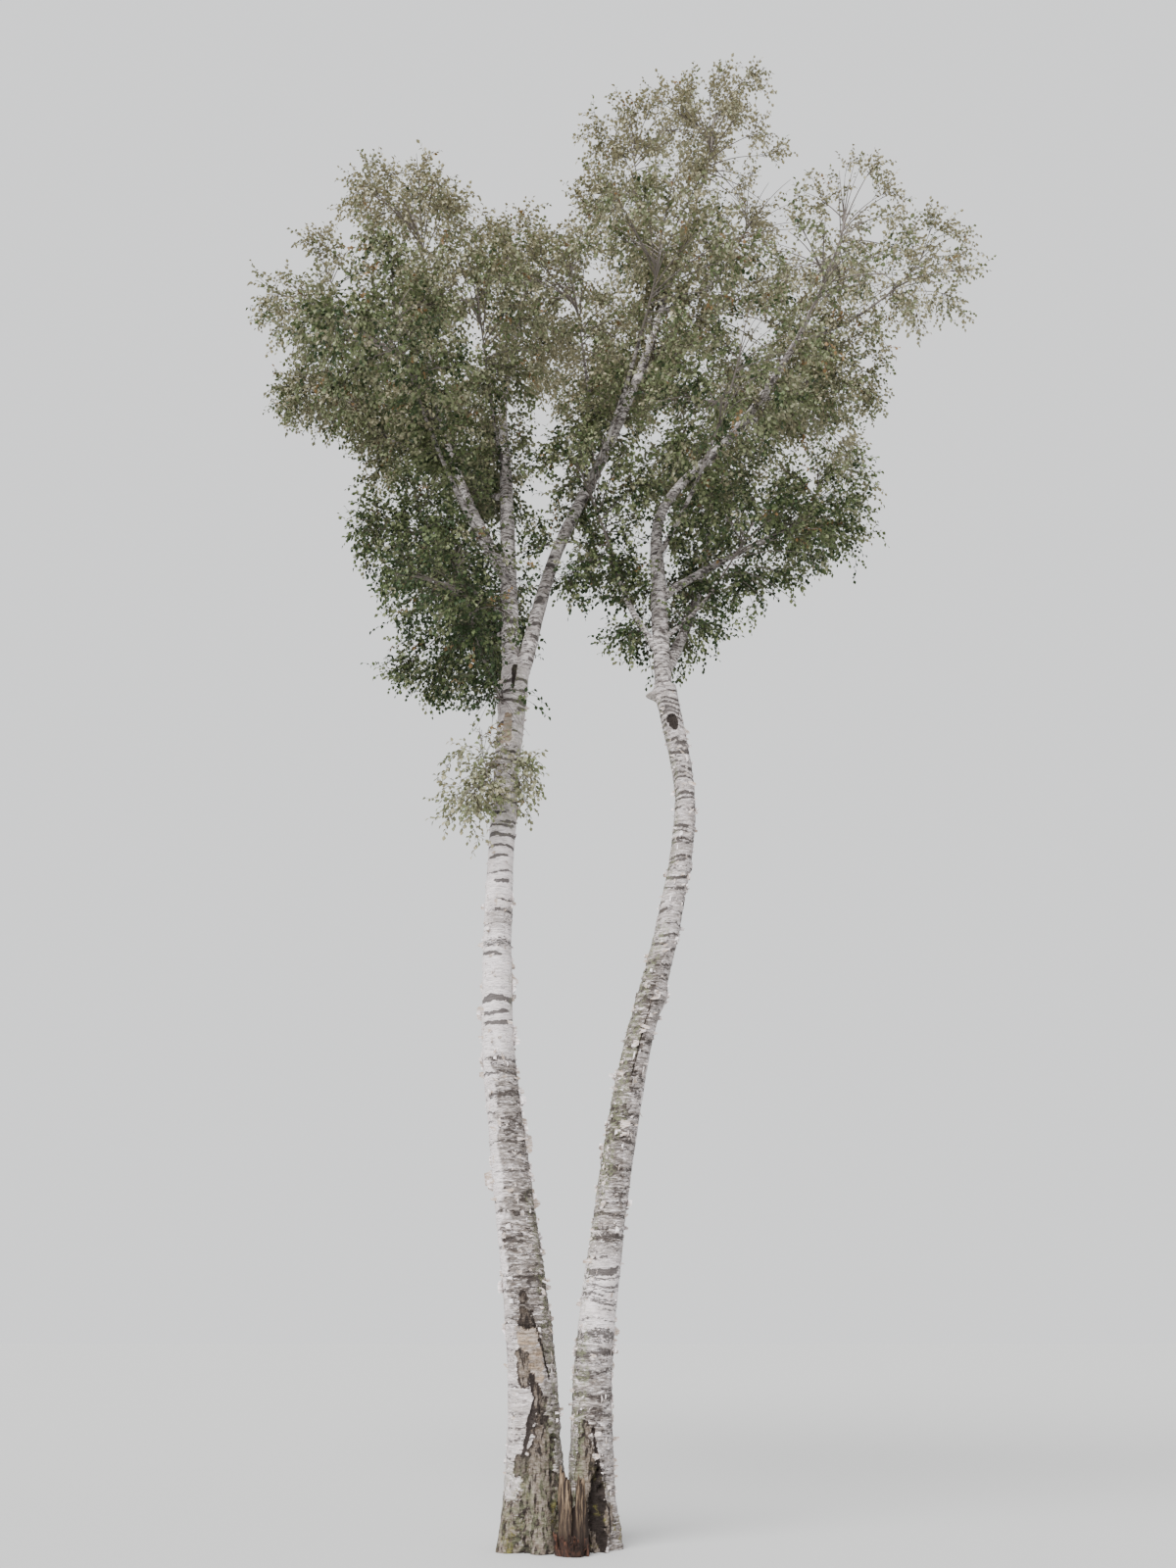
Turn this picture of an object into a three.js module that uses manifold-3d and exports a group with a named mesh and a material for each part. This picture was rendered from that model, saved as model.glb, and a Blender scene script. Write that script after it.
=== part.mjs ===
// A paper birch of two stems with an old hollow stump at its foot. Millimetres, +Z up, +X east, -Y front.
// Its origin is the middle of the west stem's flat cut at ground level.
import * as THREE from "three";
import { mergeVertices } from "three/addons/utils/BufferGeometryUtils.js";
import Module from "manifold-3d";

const wasm = await Module();
wasm.setup();

// Clearances
const SEAT_GAP = 0.4;          // between a limb and the one it grows from
const LEAF_CLEARANCE = 10;     // from a twig or leaf to any limb that it doesn't grow on
const CELL_MARGIN = 12;        // from a twig or leaf to the next mass's space
const FLATNESS = 0.05;         // how far a face may move when faces that lie in one plane are joined

// Stems, leaders and boughs
const FLARE_HEIGHT = 350;
const FLARE_LOBES = 5;
const FLARE_LOBE_DEPTH = 0.14;
const RING_CROWDING = 1.5;     // a stem's rings stand closer near the ground
const BOUGH_TAPER = [1.25, 0.95, 0.82, 0.68, 0.52];
const BOUGH_RADIUS = 14;       // of a bough with no length
const BOUGH_GIRTH = 0.0095;    // radius gained for each millimetre of length
const BOUGH_SAG = -0.12;       // how far a bough dips under its chord, as a share of its length

// Masses of foliage
const MASS_AHEAD = 0.75;       // from a bough's tip to its mass's middle, as a share of the mass's half width
const STEM_RISE = 0.4;         // how far a mass's stem goes above its middle, as a share of its half height
const TWIGS = 3;
const TWIG_REACH = 0.5;        // from the middle to a twig's tip, as a share of the mass's half size
const TWIG_RADIUS = 0.014;     // of the mass's half width
const TWIG_STARTS = [0.3, 0.9]; // where the lowest and highest twig leave the mass's stem
const TWIG_RISE = [-38, 54];   // of the lowest and highest twig, in degrees
const TWIG_SPREAD = 16;        // how much that angle varies, in degrees
const TWIG_SHORTENING = [1, 0.8, 0.6, 0.4];
const SHORTEST_TWIG = 0.2;     // of the mass's half width
const SEARCH_MARGIN = 700;     // limbs further than this from a mass's space aren't in its way
const FIRST_SEED = 100;

// Leaves, each one standing for a spray
const LEAF_LENGTH = 0.9;       // of the mass's half width
const LEAF_WIDTH = 0.62;       // of its length
const LEAF_THICKNESS = 0.036;  // of its length
const LEAF_BROADEST = 0.42;    // of its length from the root
const LEAF_ROOT = 0.7;         // how deep it starts in its twig, as a share of the twig's radius
const LEAF_PLACES = [[1, 0.1], [0.8, 1], [0.6, 1], [0.35, 1.1]]; // share of its twig and lean in radians
const LEAF_ROLL = 0.8;         // how much leaves are rolled about their own middle line, in radians
const LEAF_SHORTENING = [1, 0.85, 0.7, 0.55];
const LEAF_TURNING = [0, 1.3, -1.3, 2.6];
const GOLDEN_ANGLE = Math.PI * (3 - Math.sqrt(5));

// Stems and leaders: the sideways sway and the radius are given at equal steps of height.
// A leader has a mass of foliage round its tip, wide and tall to each side of the mass's middle.
const UPRIGHTS = [
  {
    name: "west_stem", foot: [0, 0, 0], height: 7800, depth: 0, flare: 60,
    sway: [0, -50, -230, -400, -440, -410, -345], radius: [225, 195, 170, 145, 131, 124, 148],
  },
  {
    name: "east_stem", foot: [440, 0, 0], height: 7600, depth: 0, flare: 50,
    sway: [0, 20, 180, 410, 750, 940, 775], radius: [168, 155, 142, 132, 115, 102, 116],
  },
  {
    name: "west_leader", foot: [-390, 0, 7790], height: 5210, depth: 300,
    sway: [0, -70, -140, -210, -60], radius: [95, 88, 70, 45, 32], wide: 1050, tall: 1200,
  },
  {
    name: "west_long_leader", foot: [-275, 0, 7790], height: 7410, depth: 0,
    sway: [0, 335, 905, 1405, 1790, 2190], radius: [84, 66, 63, 48, 29, 20], wide: 1100, tall: 1300,
  },
  {
    name: "east_leader", foot: [1205, 0, 7590], height: 5910, depth: 100,
    sway: [0, -20, 70, 990, 1660, 2210], radius: [92, 86, 53, 49, 40, 25], wide: 1100, tall: 1400,
  },
];

// Boughs by the limb they grow from, each with the mass at its tip: at is the share of that limb where it
// leaves, heading is counter-clockwise from east and rise is above level, both in degrees
const BOUGHS = {
  west_leader: [
    { name: "west_side", at: 0.23, heading: -167, rise: 74, length: 4150, wide: 1150, tall: 1350 },
    { name: "west_front", at: 0.21, heading: -117, rise: 31, length: 2050, wide: 1050, tall: 950 },
    { name: "west_back", at: 0.46, heading: 116, rise: 47, length: 2600, wide: 1300, tall: 1300 },
    { name: "west_heart", at: 0.5, heading: -102, rise: 42, length: 1100, wide: 1000, tall: 950 },
    { name: "west_low_left", at: 0.13, heading: -165, rise: 41, length: 800, wide: 800, tall: 850 },
    { name: "west_low_back", at: 0.1, heading: 125, rise: 28, length: 950, wide: 1100, tall: 950 },
  ],
  west_side: [
    { name: "west_shoulder", at: 0.53, heading: -159, rise: 42, length: 1300, wide: 850, tall: 1000 },
    { name: "west_outer", at: 0.42, heading: 150, rise: 37, length: 1400, wide: 1000, tall: 1100 },
  ],
  west_stem: [
    { name: "west_skirt", at: 0.93, heading: -125, rise: 47, length: 850, wide: 850, tall: 800 },
    { name: "west_sprout", at: 0.79, heading: -120, rise: 40, length: 260, wide: 380, tall: 520 },
  ],
  west_long_leader: [
    { name: "long_left", at: 0.71, heading: -126, rise: 69, length: 1150, wide: 900, tall: 1150 },
    { name: "long_right", at: 0.69, heading: 27, rise: 53, length: 1800, wide: 950, tall: 1150 },
    { name: "long_front", at: 0.33, heading: -69, rise: 28, length: 1700, wide: 1050, tall: 950 },
    { name: "long_back", at: 0.53, heading: 97, rise: 47, length: 2300, wide: 1300, tall: 1300 },
    { name: "long_mid_right", at: 0.56, heading: 18, rise: 48, length: 1250, wide: 1050, tall: 1100 },
    { name: "long_mid_left", at: 0.39, heading: -116, rise: 62, length: 1150, wide: 1050, tall: 1050 },
  ],
  east_leader: [
    { name: "east_outer", at: 0.83, heading: -8, rise: 26, length: 1150, wide: 900, tall: 950 },
    { name: "east_front", at: 0.59, heading: -61, rise: 21, length: 1500, wide: 1000, tall: 950 },
    { name: "east_back", at: 0.69, heading: 71, rise: 36, length: 2050, wide: 1300, tall: 1300 },
    { name: "east_mid", at: 0.61, heading: 14, rise: 39, length: 850, wide: 900, tall: 900 },
    { name: "east_front_low", at: 0.28, heading: -68, rise: 21, length: 1500, wide: 1000, tall: 900 },
    {
      name: "east_long", at: 0.19, heading: -3, rise: 31, length: 1550, radius: 44, sag: 0.05,
      wide: 850, tall: 750,
    },
    { name: "east_fork", at: 0.03, heading: 45, rise: 71, length: 3000, radius: 58, wide: 1100, tall: 1100 },
    { name: "east_stub", at: 0.07, heading: -164, rise: 63, length: 1050, radius: 42, wide: 1000, tall: 1000 },
    { name: "east_low", at: 0.1, heading: -20, rise: 42, length: 900, wide: 900, tall: 750 },
  ],
};

// Old stump between the stems, rotted hollow, with flat splinters of uneven height round its rim
const STUMP = {
  middle: [305, -255], radius: 125, core: 170, seed: 7,
  splinters: 7, height: 560, lowest: 0.62, thickness: 70, width: 78, tipWidth: 0.3, lean: [0.04, 0.12],
};

// Colours
const WHITE_BARK = 0xcfc9c0;
const UPPER_BARK = 0xb9b1a6;
const ROTTEN_WOOD = 0x5a3d28;
const GREENS = [0x4a5d33, 0x5c6a35, 0x6f7438, 0x84803c];   // from the lowest mass to the highest
const GREEN_HEIGHTS = [8000, 16000];

function seededRandom(seed) {
  let state = seed >>> 0;
  return () => {
    state = (state + 0x6d2b79f5) >>> 0;
    let mixed = state;
    mixed = Math.imul(mixed ^ (mixed >>> 15), mixed | 1);
    mixed ^= mixed + Math.imul(mixed ^ (mixed >>> 7), mixed | 61);
    return ((mixed ^ (mixed >>> 14)) >>> 0) / 4294967296;
  };
}

function mix(list, share) {
  const place = Math.min(Math.max(share, 0), 1) * (list.length - 1);
  const step = Math.min(Math.floor(place), list.length - 2);
  return THREE.MathUtils.lerp(list[step], list[step + 1], place - step);
}

function direction(headingDegrees, riseDegrees) {
  const heading = THREE.MathUtils.degToRad(headingDegrees);
  const rise = THREE.MathUtils.degToRad(riseDegrees);
  return new THREE.Vector3(
    Math.cos(heading) * Math.cos(rise),
    Math.sin(heading) * Math.cos(rise),
    Math.sin(rise),
  );
}

function along(start, heading, distance) {
  return start.clone().addScaledVector(heading, distance);
}

// Solids and meshes

function merged(geometry) {
  geometry.deleteAttribute("normal");
  geometry.deleteAttribute("uv");
  return mergeVertices(geometry, 1e-4);
}

function toSolid(geometry) {
  return new wasm.Manifold(new wasm.Mesh({
    numProp: 3,
    vertProperties: new Float32Array(geometry.attributes.position.array),
    triVerts: new Uint32Array(geometry.index.array),
  }));
}

function largestBody(solid) {
  const bodies = solid.simplify(FLATNESS).decompose();
  return bodies.sort((one, other) => other.volume() - one.volume())[0];
}

function toMesh(name, solid, color, roughness) {
  const { vertProperties, triVerts } = solid.getMesh();
  const geometry = new THREE.BufferGeometry();
  geometry.setAttribute("position", new THREE.BufferAttribute(vertProperties, 3));
  geometry.setIndex(new THREE.BufferAttribute(triVerts, 1));
  geometry.computeVertexNormals();
  const material = new THREE.MeshStandardMaterial({ color, roughness, metalness: 0 });
  const mesh = new THREE.Mesh(geometry, material);
  mesh.name = name;
  return mesh;
}

// Limbs: a cylinder bent along its curve, with the limb's own radius at each ring

function uprightLimb(row) {
  const foot = new THREE.Vector3(...row.foot);
  const stations = row.sway.map((sway, index) => {
    const share = index / (row.sway.length - 1);
    return foot.clone().add(new THREE.Vector3(sway, row.depth * share, row.height * share));
  });
  return {
    name: row.name,
    curve: new THREE.CatmullRomCurve3(stations, false, "catmullrom", 0.5),
    radius: row.radius,
    flare: row.flare ?? 0,
    side: new THREE.Vector3(0, 1, 0),
    level: row.flare !== undefined,
    sides: row.flare === undefined ? 7 : 12,
    steps: row.flare === undefined ? 8 : 12,
  };
}

function boughLimb(row, parent) {
  const heading = direction(row.heading, row.rise);
  const across = direction(row.heading + 90, 0);
  const above = heading.clone().cross(across).negate();
  above.multiplyScalar(Math.sign(above.z));
  const foot = parent.curve.getPoint(row.at);
  const tip = along(foot, heading, row.length);
  const middle = along(foot, heading, row.length / 2);
  const bend = along(middle, above, row.length * (row.sag ?? BOUGH_SAG));
  const radius = row.radius ?? BOUGH_RADIUS + BOUGH_GIRTH * row.length;
  return {
    name: `${row.name}_bough`,
    curve: new THREE.QuadraticBezierCurve3(foot, bend, tip),
    radius: BOUGH_TAPER.map((share) => share * radius),
    flare: 0,
    side: across,
    level: false,
    sides: radius > 40 ? 7 : 5,
    steps: row.length > 1200 ? 4 : 2,
  };
}

function limbRadius(limb, share, turn) {
  const height = limb.curve.getPoint(share).z;
  const swell = limb.flare * Math.exp(-height / FLARE_HEIGHT);
  const lobes = 1 + (swell / Math.max(limb.flare, 1)) * FLARE_LOBE_DEPTH * Math.cos(FLARE_LOBES * turn);
  return (mix(limb.radius, share) + swell) * lobes;
}

function limbSolid(limb, grow) {
  const geometry = merged(new THREE.CylinderGeometry(1, 1, 1, limb.sides, limb.steps));
  const position = geometry.attributes.position;
  for (let index = 0; index < position.count; index += 1) {
    const rung = position.getY(index) + 0.5;
    const share = limb.level ? rung ** RING_CROWDING : rung;
    const tangent = limb.level ? new THREE.Vector3(0, 0, 1) : limb.curve.getTangent(share);
    const first = limb.side.clone().addScaledVector(tangent, -limb.side.dot(tangent)).normalize();
    const second = first.clone().cross(tangent);
    const [x, z] = [position.getX(index), position.getZ(index)];
    const reach = x || z ? limbRadius(limb, share, Math.atan2(x, z)) + grow : 0;
    const place = limb.curve.getPoint(share);
    place.addScaledVector(first, x * reach).addScaledVector(second, z * reach);
    place.addScaledVector(tangent, grow * (Number(rung > 1 - 1e-6) - Number(rung < 1e-6)));
    position.setXYZ(index, place.x, place.y, place.z);
  }
  return toSolid(geometry);
}

function boxesMeet(one, other) {
  const [a, b] = [one.boundingBox(), other.boundingBox()];
  return [0, 1, 2].every((axis) => a.min[axis] < b.max[axis] && b.min[axis] < a.max[axis]);
}

function cutClear(solid, grownLimbs) {
  const near = grownLimbs.filter((grown) => boxesMeet(solid, grown));
  return largestBody(near.reduce((left, grown) => left.subtract(grown), solid));
}

// Stump: a low core with a ring of flat splinters fused to it

function splinterSolid(turn, height, lean) {
  const splinter = merged(new THREE.CylinderGeometry(STUMP.tipWidth, 1, 1, 4));
  splinter.rotateY(Math.PI / 4).scale(STUMP.width, height, STUMP.thickness / 2).translate(0, height / 2, 0);
  splinter.rotateX(Math.PI / 2 - lean).translate(0, STUMP.radius - STUMP.thickness / 5, 0);
  return toSolid(splinter.rotateZ(turn).translate(...STUMP.middle, 0));
}

function stumpSolid() {
  const random = seededRandom(STUMP.seed);
  const core = merged(new THREE.CylinderGeometry(STUMP.radius, STUMP.radius, STUMP.core, STUMP.splinters));
  core.rotateX(Math.PI / 2).translate(...STUMP.middle, STUMP.core / 2);
  let whole = toSolid(core);
  for (let index = 0; index < STUMP.splinters; index += 1) {
    const height = STUMP.height * THREE.MathUtils.lerp(STUMP.lowest, 1, random());
    const lean = THREE.MathUtils.lerp(...STUMP.lean, random());
    whole = whole.add(splinterSolid((2 * Math.PI * index) / STUMP.splinters, height, lean));
  }
  return whole.trimByPlane([0, 0, 1], 0);
}

// Masses of foliage

function massOf(row, limb, seed) {
  const tip = limb.curve.getPoint(1);
  const heading = limb.curve.getTangent(1);
  const narrow = Math.min(row.wide, row.tall);
  const chord = row.rise === undefined ? heading : direction(row.heading, row.rise);
  const foot = along(tip, heading, SEAT_GAP);
  const middle = along(tip, chord, MASS_AHEAD * narrow);
  const top = middle.clone().add(new THREE.Vector3(0, 0, STEM_RISE * row.tall));
  return {
    name: `${row.name}_foliage`,
    seed,
    middle,
    narrow,
    half: new THREE.Vector3(row.wide, row.wide, row.tall),
    cell: (2 * row.wide + row.tall) / 3,
    stem: {
      curve: new THREE.QuadraticBezierCurve3(foot, along(foot, heading, 0.6 * narrow), top),
      radius: [limb.radius.at(-1), TWIG_RADIUS * narrow],
      flare: 0,
      side: limb.side,
      level: false,
      sides: 3,
      steps: 3,
    },
  };
}

function keepsToItsSpace(point, mass, masses) {
  const offset = point.clone().sub(mass.middle);
  if (offset.clone().divide(mass.half).length() > 1) {
    return false;
  }
  const own = offset.lengthSq() - mass.cell ** 2;
  return masses.every((other) => {
    if (other === mass) {
      return true;
    }
    const theirs = point.distanceToSquared(other.middle) - other.cell ** 2;
    return theirs - own > 2 * CELL_MARGIN * mass.middle.distanceTo(other.middle);
  });
}

function limbSegments(limb, pieces) {
  return Array.from({ length: pieces }, (unused, index) => ({
    line: new THREE.Line3(limb.curve.getPoint(index / pieces), limb.curve.getPoint((index + 1) / pieces)),
    radius: limbRadius(limb, index / pieces, 0),
  }));
}

function isClear(point, radius, segments) {
  const nearest = new THREE.Vector3();
  return segments.every((segment) => {
    segment.line.closestPointToPoint(point, true, nearest);
    return nearest.distanceTo(point) > segment.radius + radius + LEAF_CLEARANCE;
  });
}

// A point of the straight stretch between two of a limb's rings
function woodPoint(limb, share) {
  const place = share * limb.steps;
  const ring = Math.min(Math.floor(place), limb.steps - 1);
  const start = limb.curve.getPoint(ring / limb.steps);
  return start.lerp(limb.curve.getPoint((ring + 1) / limb.steps), place - ring);
}

function leafFrame(root, heading, facing, length) {
  const across = heading.clone().cross(facing).normalize();
  const normal = across.clone().cross(heading);
  return { root, heading, across, normal, length };
}

function leafPoint(leaf, forward, sideways, upward) {
  return leaf.root.clone()
    .addScaledVector(leaf.heading, forward * leaf.length)
    .addScaledVector(leaf.across, sideways * leaf.length * LEAF_WIDTH / 2)
    .addScaledVector(leaf.normal, upward * leaf.length * LEAF_THICKNESS / 2);
}

function leafSolid(leaf) {
  const geometry = merged(new THREE.OctahedronGeometry(1));
  const position = geometry.attributes.position;
  for (let index = 0; index < position.count; index += 1) {
    const [x, y, z] = [position.getX(index), position.getY(index), position.getZ(index)];
    const forward = Math.abs(z) > 0.5 ? (z + 1) / 2 : LEAF_BROADEST;
    const place = leafPoint(leaf, forward, x, -y);
    position.setXYZ(index, place.x, place.y, place.z);
  }
  return toSolid(geometry);
}

function leafSamples(leaf) {
  const samples = [];
  for (let row = 1; row <= 8; row += 1) {
    const forward = row / 8;
    const spread = forward < LEAF_BROADEST ? forward / LEAF_BROADEST : (1 - forward) / (1 - LEAF_BROADEST);
    for (const sideways of [-1, -0.5, 0, 0.5, 1]) {
      samples.push(leafPoint(leaf, forward, sideways * spread, 0));
    }
  }
  return samples;
}

// The longest leaf that fits from this root, clear of limbs and of what the mass already holds, or none
function fitLeaf(root, heading, facing, mass, surroundings) {
  for (const share of LEAF_SHORTENING) {
    const leaf = leafFrame(root, heading, facing, share * LEAF_LENGTH * mass.narrow);
    const corners = [[1, 0, 0], [LEAF_BROADEST, 1, 0], [LEAF_BROADEST, -1, 0]];
    const inside = corners.every((corner) => (
      keepsToItsSpace(leafPoint(leaf, ...corner), mass, surroundings.masses)));
    if (inside && leafSamples(leaf).every((sample) => isClear(sample, 0, surroundings.segments))) {
      const solid = leafSolid(leaf);
      if (surroundings.taken.every((other) => !boxesMeet(solid, other) || solid.intersect(other).isEmpty())) {
        return solid;
      }
    }
  }
  return null;
}

function twigLimb(start, end, radius) {
  const flat = new THREE.Vector3(end.x - start.x, end.y - start.y, 0).normalize();
  return {
    curve: new THREE.LineCurve3(start, end),
    radius: [radius, 0.55 * radius],
    flare: 0,
    side: new THREE.Vector3(-flat.y, flat.x, 0),
    level: false,
    sides: 3,
    steps: 1,
  };
}

function fitTwig(start, outward, mass, surroundings) {
  for (const share of TWIG_SHORTENING) {
    const end = outward.clone().multiply(mass.half).multiplyScalar(TWIG_REACH * share).add(mass.middle);
    const twig = twigLimb(start, end, TWIG_RADIUS * mass.narrow);
    const fits = twig.curve.getPoints(6).slice(1).every((sample) => (
      keepsToItsSpace(sample, mass, surroundings.masses)
      && isClear(sample, twig.radius[0], surroundings.segments)));
    if (fits && start.distanceTo(end) > SHORTEST_TWIG * mass.narrow) {
      return twig;
    }
  }
  return null;
}

// Leaves stand round a twig at the golden angle, and the first one carries on from its tip.
// One that doesn't fit is turned further round the twig.
function twigLeaves(twig, random, mass, surroundings) {
  const firstTurn = random() * 2 * Math.PI;
  return LEAF_PLACES.map(([share, lean], index) => {
    const tangent = twig.curve.getTangent(share);
    const roll = LEAF_ROLL * (random() - 0.5);
    for (const extraTurn of LEAF_TURNING) {
      const spread = twig.side.clone().applyAxisAngle(tangent, firstTurn + index * GOLDEN_ANGLE + extraTurn);
      const heading = tangent.clone().multiplyScalar(Math.cos(lean)).addScaledVector(spread, Math.sin(lean));
      const facing = spread.clone().cross(tangent).applyAxisAngle(heading, roll);
      const root = along(woodPoint(twig, share), heading, -LEAF_ROOT * mix(twig.radius, share));
      const leaf = fitLeaf(root, heading, facing, mass, surroundings);
      if (leaf) {
        surroundings.taken.push(leaf);
        return leaf;
      }
    }
    return null;
  }).filter(Boolean);
}

function massSolid(mass, masses, segments) {
  const random = seededRandom(mass.seed);
  const phase = random() * 2 * Math.PI;
  const twigs = [mass.stem];
  for (let index = 0; index < TWIGS; index += 1) {
    const share = index / (TWIGS - 1);
    const heading = THREE.MathUtils.radToDeg(phase + index * GOLDEN_ANGLE);
    const rise = THREE.MathUtils.lerp(...TWIG_RISE, share) + TWIG_SPREAD * (random() - 0.5);
    const outward = direction(heading, rise);
    const start = woodPoint(mass.stem, THREE.MathUtils.lerp(...TWIG_STARTS, share));
    twigs.push(fitTwig(start, outward, mass, { masses, segments }));
  }
  const wood = twigs.filter(Boolean).map((twig) => ({ twig, solid: limbSolid(twig, 0) }));
  const leaves = [];
  wood.forEach(({ twig, solid }) => {
    const otherWood = wood.map((other) => other.solid).filter((other) => other !== solid);
    const surroundings = { masses, segments, taken: [...otherWood, ...leaves] };
    leaves.push(...twigLeaves(twig, random, mass, surroundings));
  });
  const whole = [...wood.map((each) => each.solid), ...leaves].reduce((left, solid) => left.add(solid));
  return largestBody(whole);
}

// The tree

const limbs = new Map();
UPRIGHTS.forEach((row) => limbs.set(row.name, uprightLimb(row)));
Object.entries(BOUGHS).forEach(([parent, rows]) => {
  rows.forEach((row) => limbs.set(row.name, boughLimb(row, limbs.get(parent))));
});

const tree = new THREE.Group();
const grown = [];
limbs.forEach((limb) => {
  const solid = cutClear(limbSolid(limb, 0), grown);
  grown.push(limbSolid(limb, SEAT_GAP));
  tree.add(toMesh(limb.name, solid, limb.level ? WHITE_BARK : UPPER_BARK, 0.7));
});
tree.add(toMesh("hollow_stump", cutClear(stumpSolid(), grown), ROTTEN_WOOD, 0.9));

const masses = [...UPRIGHTS, ...Object.values(BOUGHS).flat()]
  .filter((row) => row.wide)
  .map((row, index) => massOf(row, limbs.get(row.name), FIRST_SEED + index));
const limbPieces = [...limbs.values()].map((limb) => limbSegments(limb, 12));
masses.forEach((mass) => {
  const stems = masses.filter((other) => other !== mass).map((other) => limbSegments(other.stem, 6));
  const reach = Math.max(mass.half.x, mass.half.z) + SEARCH_MARGIN;
  const near = [...limbPieces, ...stems].flat().filter((piece) => (
    piece.line.getCenter(new THREE.Vector3()).distanceTo(mass.middle) < reach));
  const tint = THREE.MathUtils.mapLinear(mass.middle.z, ...GREEN_HEIGHTS, 0, GREENS.length - 1);
  const green = GREENS[Math.round(THREE.MathUtils.clamp(tint, 0, GREENS.length - 1))];
  tree.add(toMesh(mass.name, massSolid(mass, masses, near), green, 0.6));
});

export default tree;
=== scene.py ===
"""Bark, twigs, leaves and old stump of a two-stemmed paper birch.

Metres, +Z up, +X east, -Y front. The origin is the middle of the west stem's flat cut at ground level.
"""

import math
from collections import namedtuple
from types import SimpleNamespace

import bpy
import numpy as np
from bpy.props import FloatProperty, FloatVectorProperty, IntProperty, PointerProperty
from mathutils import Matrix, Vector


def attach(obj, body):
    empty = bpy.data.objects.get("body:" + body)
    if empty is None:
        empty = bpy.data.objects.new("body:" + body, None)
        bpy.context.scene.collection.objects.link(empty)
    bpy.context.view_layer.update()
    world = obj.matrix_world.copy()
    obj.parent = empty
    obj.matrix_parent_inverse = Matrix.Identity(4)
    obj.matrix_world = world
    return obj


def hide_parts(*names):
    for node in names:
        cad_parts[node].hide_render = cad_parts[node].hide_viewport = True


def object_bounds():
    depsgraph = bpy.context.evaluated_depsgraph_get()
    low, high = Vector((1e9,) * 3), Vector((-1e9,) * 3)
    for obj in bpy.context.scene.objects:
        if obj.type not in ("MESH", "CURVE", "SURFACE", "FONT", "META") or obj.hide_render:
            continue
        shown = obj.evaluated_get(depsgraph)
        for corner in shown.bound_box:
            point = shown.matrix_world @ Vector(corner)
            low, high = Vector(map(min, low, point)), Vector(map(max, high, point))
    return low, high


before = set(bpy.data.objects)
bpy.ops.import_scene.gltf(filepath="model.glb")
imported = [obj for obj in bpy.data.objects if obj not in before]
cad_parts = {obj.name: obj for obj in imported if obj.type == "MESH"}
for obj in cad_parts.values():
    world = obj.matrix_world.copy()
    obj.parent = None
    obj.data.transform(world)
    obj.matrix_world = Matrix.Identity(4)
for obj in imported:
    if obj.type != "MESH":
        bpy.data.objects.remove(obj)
cad_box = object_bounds()

bl_info = {
    "name": "Paper birch clump",
    "version": (1, 0, 0),
    "blender": (4, 5, 0),
    "location": "View3D > Sidebar > Birch",
    "description": "Bark, twigs, leaves and old stump of a two-stemmed paper birch",
    "category": "Object",
}

BODY = "root"
UP = np.array([0.0, 0.0, 1.0])
FULL_TURN = 2 * math.pi
TINY = 1e-9
CURVE_STEP = 1e-4
GOLDEN_ANGLE = math.pi * (3 - math.sqrt(5))
GOLDEN_SHARE = (math.sqrt(5) - 1) / 2
# The place that the tree is seen from
CAMERA_EAST = 0.415
CAMERA_DISTANCE = 10.7
EYE_HEIGHT = 1.5

# Limbs, as in the part's source
SEAT_GAP = 0.0004
FLARE_HEIGHT = 0.35
FLARE_LOBES = 5
FLARE_LOBE_DEPTH = 0.14
BOUGH_TAPER = (1.25, 0.95, 0.82, 0.68, 0.52)
BOUGH_RADIUS = 0.014
BOUGH_GIRTH = 0.0095
BOUGH_SAG = -0.12

# Masses of foliage, as in the part's source
FIRST_SEED = 100
MASS_AHEAD = 0.75
STEM_RISE = 0.4
STEM_LEAVE = 0.6
TWIGS = 3
TWIG_STARTS = (0.3, 0.9)
TWIG_RISE = (-38, 54)
TWIG_SPREAD = 16
TWIG_RADIUS = 0.014
LEAF_CLEARANCE = 0.01

Upright = namedtuple("Upright", "name foot height depth sway radius flare wide tall", defaults=(0, 0, 0))
Bough = namedtuple("Bough", "name at heading rise length wide tall radius sag", defaults=(None, BOUGH_SAG))
Limb = namedtuple("Limb", "name curve radius side flare level reach")
Masses = namedtuple("Masses", "names middle half narrow foot bend top radius")
Shoots = namedtuple("Shoots", "mass start bend end thick thin")
Leaves = namedtuple("Leaves", "mass root heading across length tint")

UPRIGHTS = (
    Upright("west_stem", (0, 0, 0), 7.8, 0, (0, -0.05, -0.23, -0.4, -0.44, -0.41, -0.345),
            (0.225, 0.195, 0.17, 0.145, 0.131, 0.124, 0.148), flare=0.06),
    Upright("east_stem", (0.44, 0, 0), 7.6, 0, (0, 0.02, 0.18, 0.41, 0.75, 0.94, 0.775),
            (0.168, 0.155, 0.142, 0.132, 0.115, 0.102, 0.116), flare=0.05),
    Upright("west_leader", (-0.39, 0, 7.79), 5.21, 0.3, (0, -0.07, -0.14, -0.21, -0.06),
            (0.095, 0.088, 0.07, 0.045, 0.032), wide=1.05, tall=1.2),
    Upright("west_long_leader", (-0.275, 0, 7.79), 7.41, 0, (0, 0.335, 0.905, 1.405, 1.79, 2.19),
            (0.084, 0.066, 0.063, 0.048, 0.029, 0.02), wide=1.1, tall=1.3),
    Upright("east_leader", (1.205, 0, 7.59), 5.91, 0.1, (0, -0.02, 0.07, 0.99, 1.66, 2.21),
            (0.092, 0.086, 0.053, 0.049, 0.04, 0.025), wide=1.1, tall=1.4),
)
STEMS = UPRIGHTS[:2]

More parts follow.
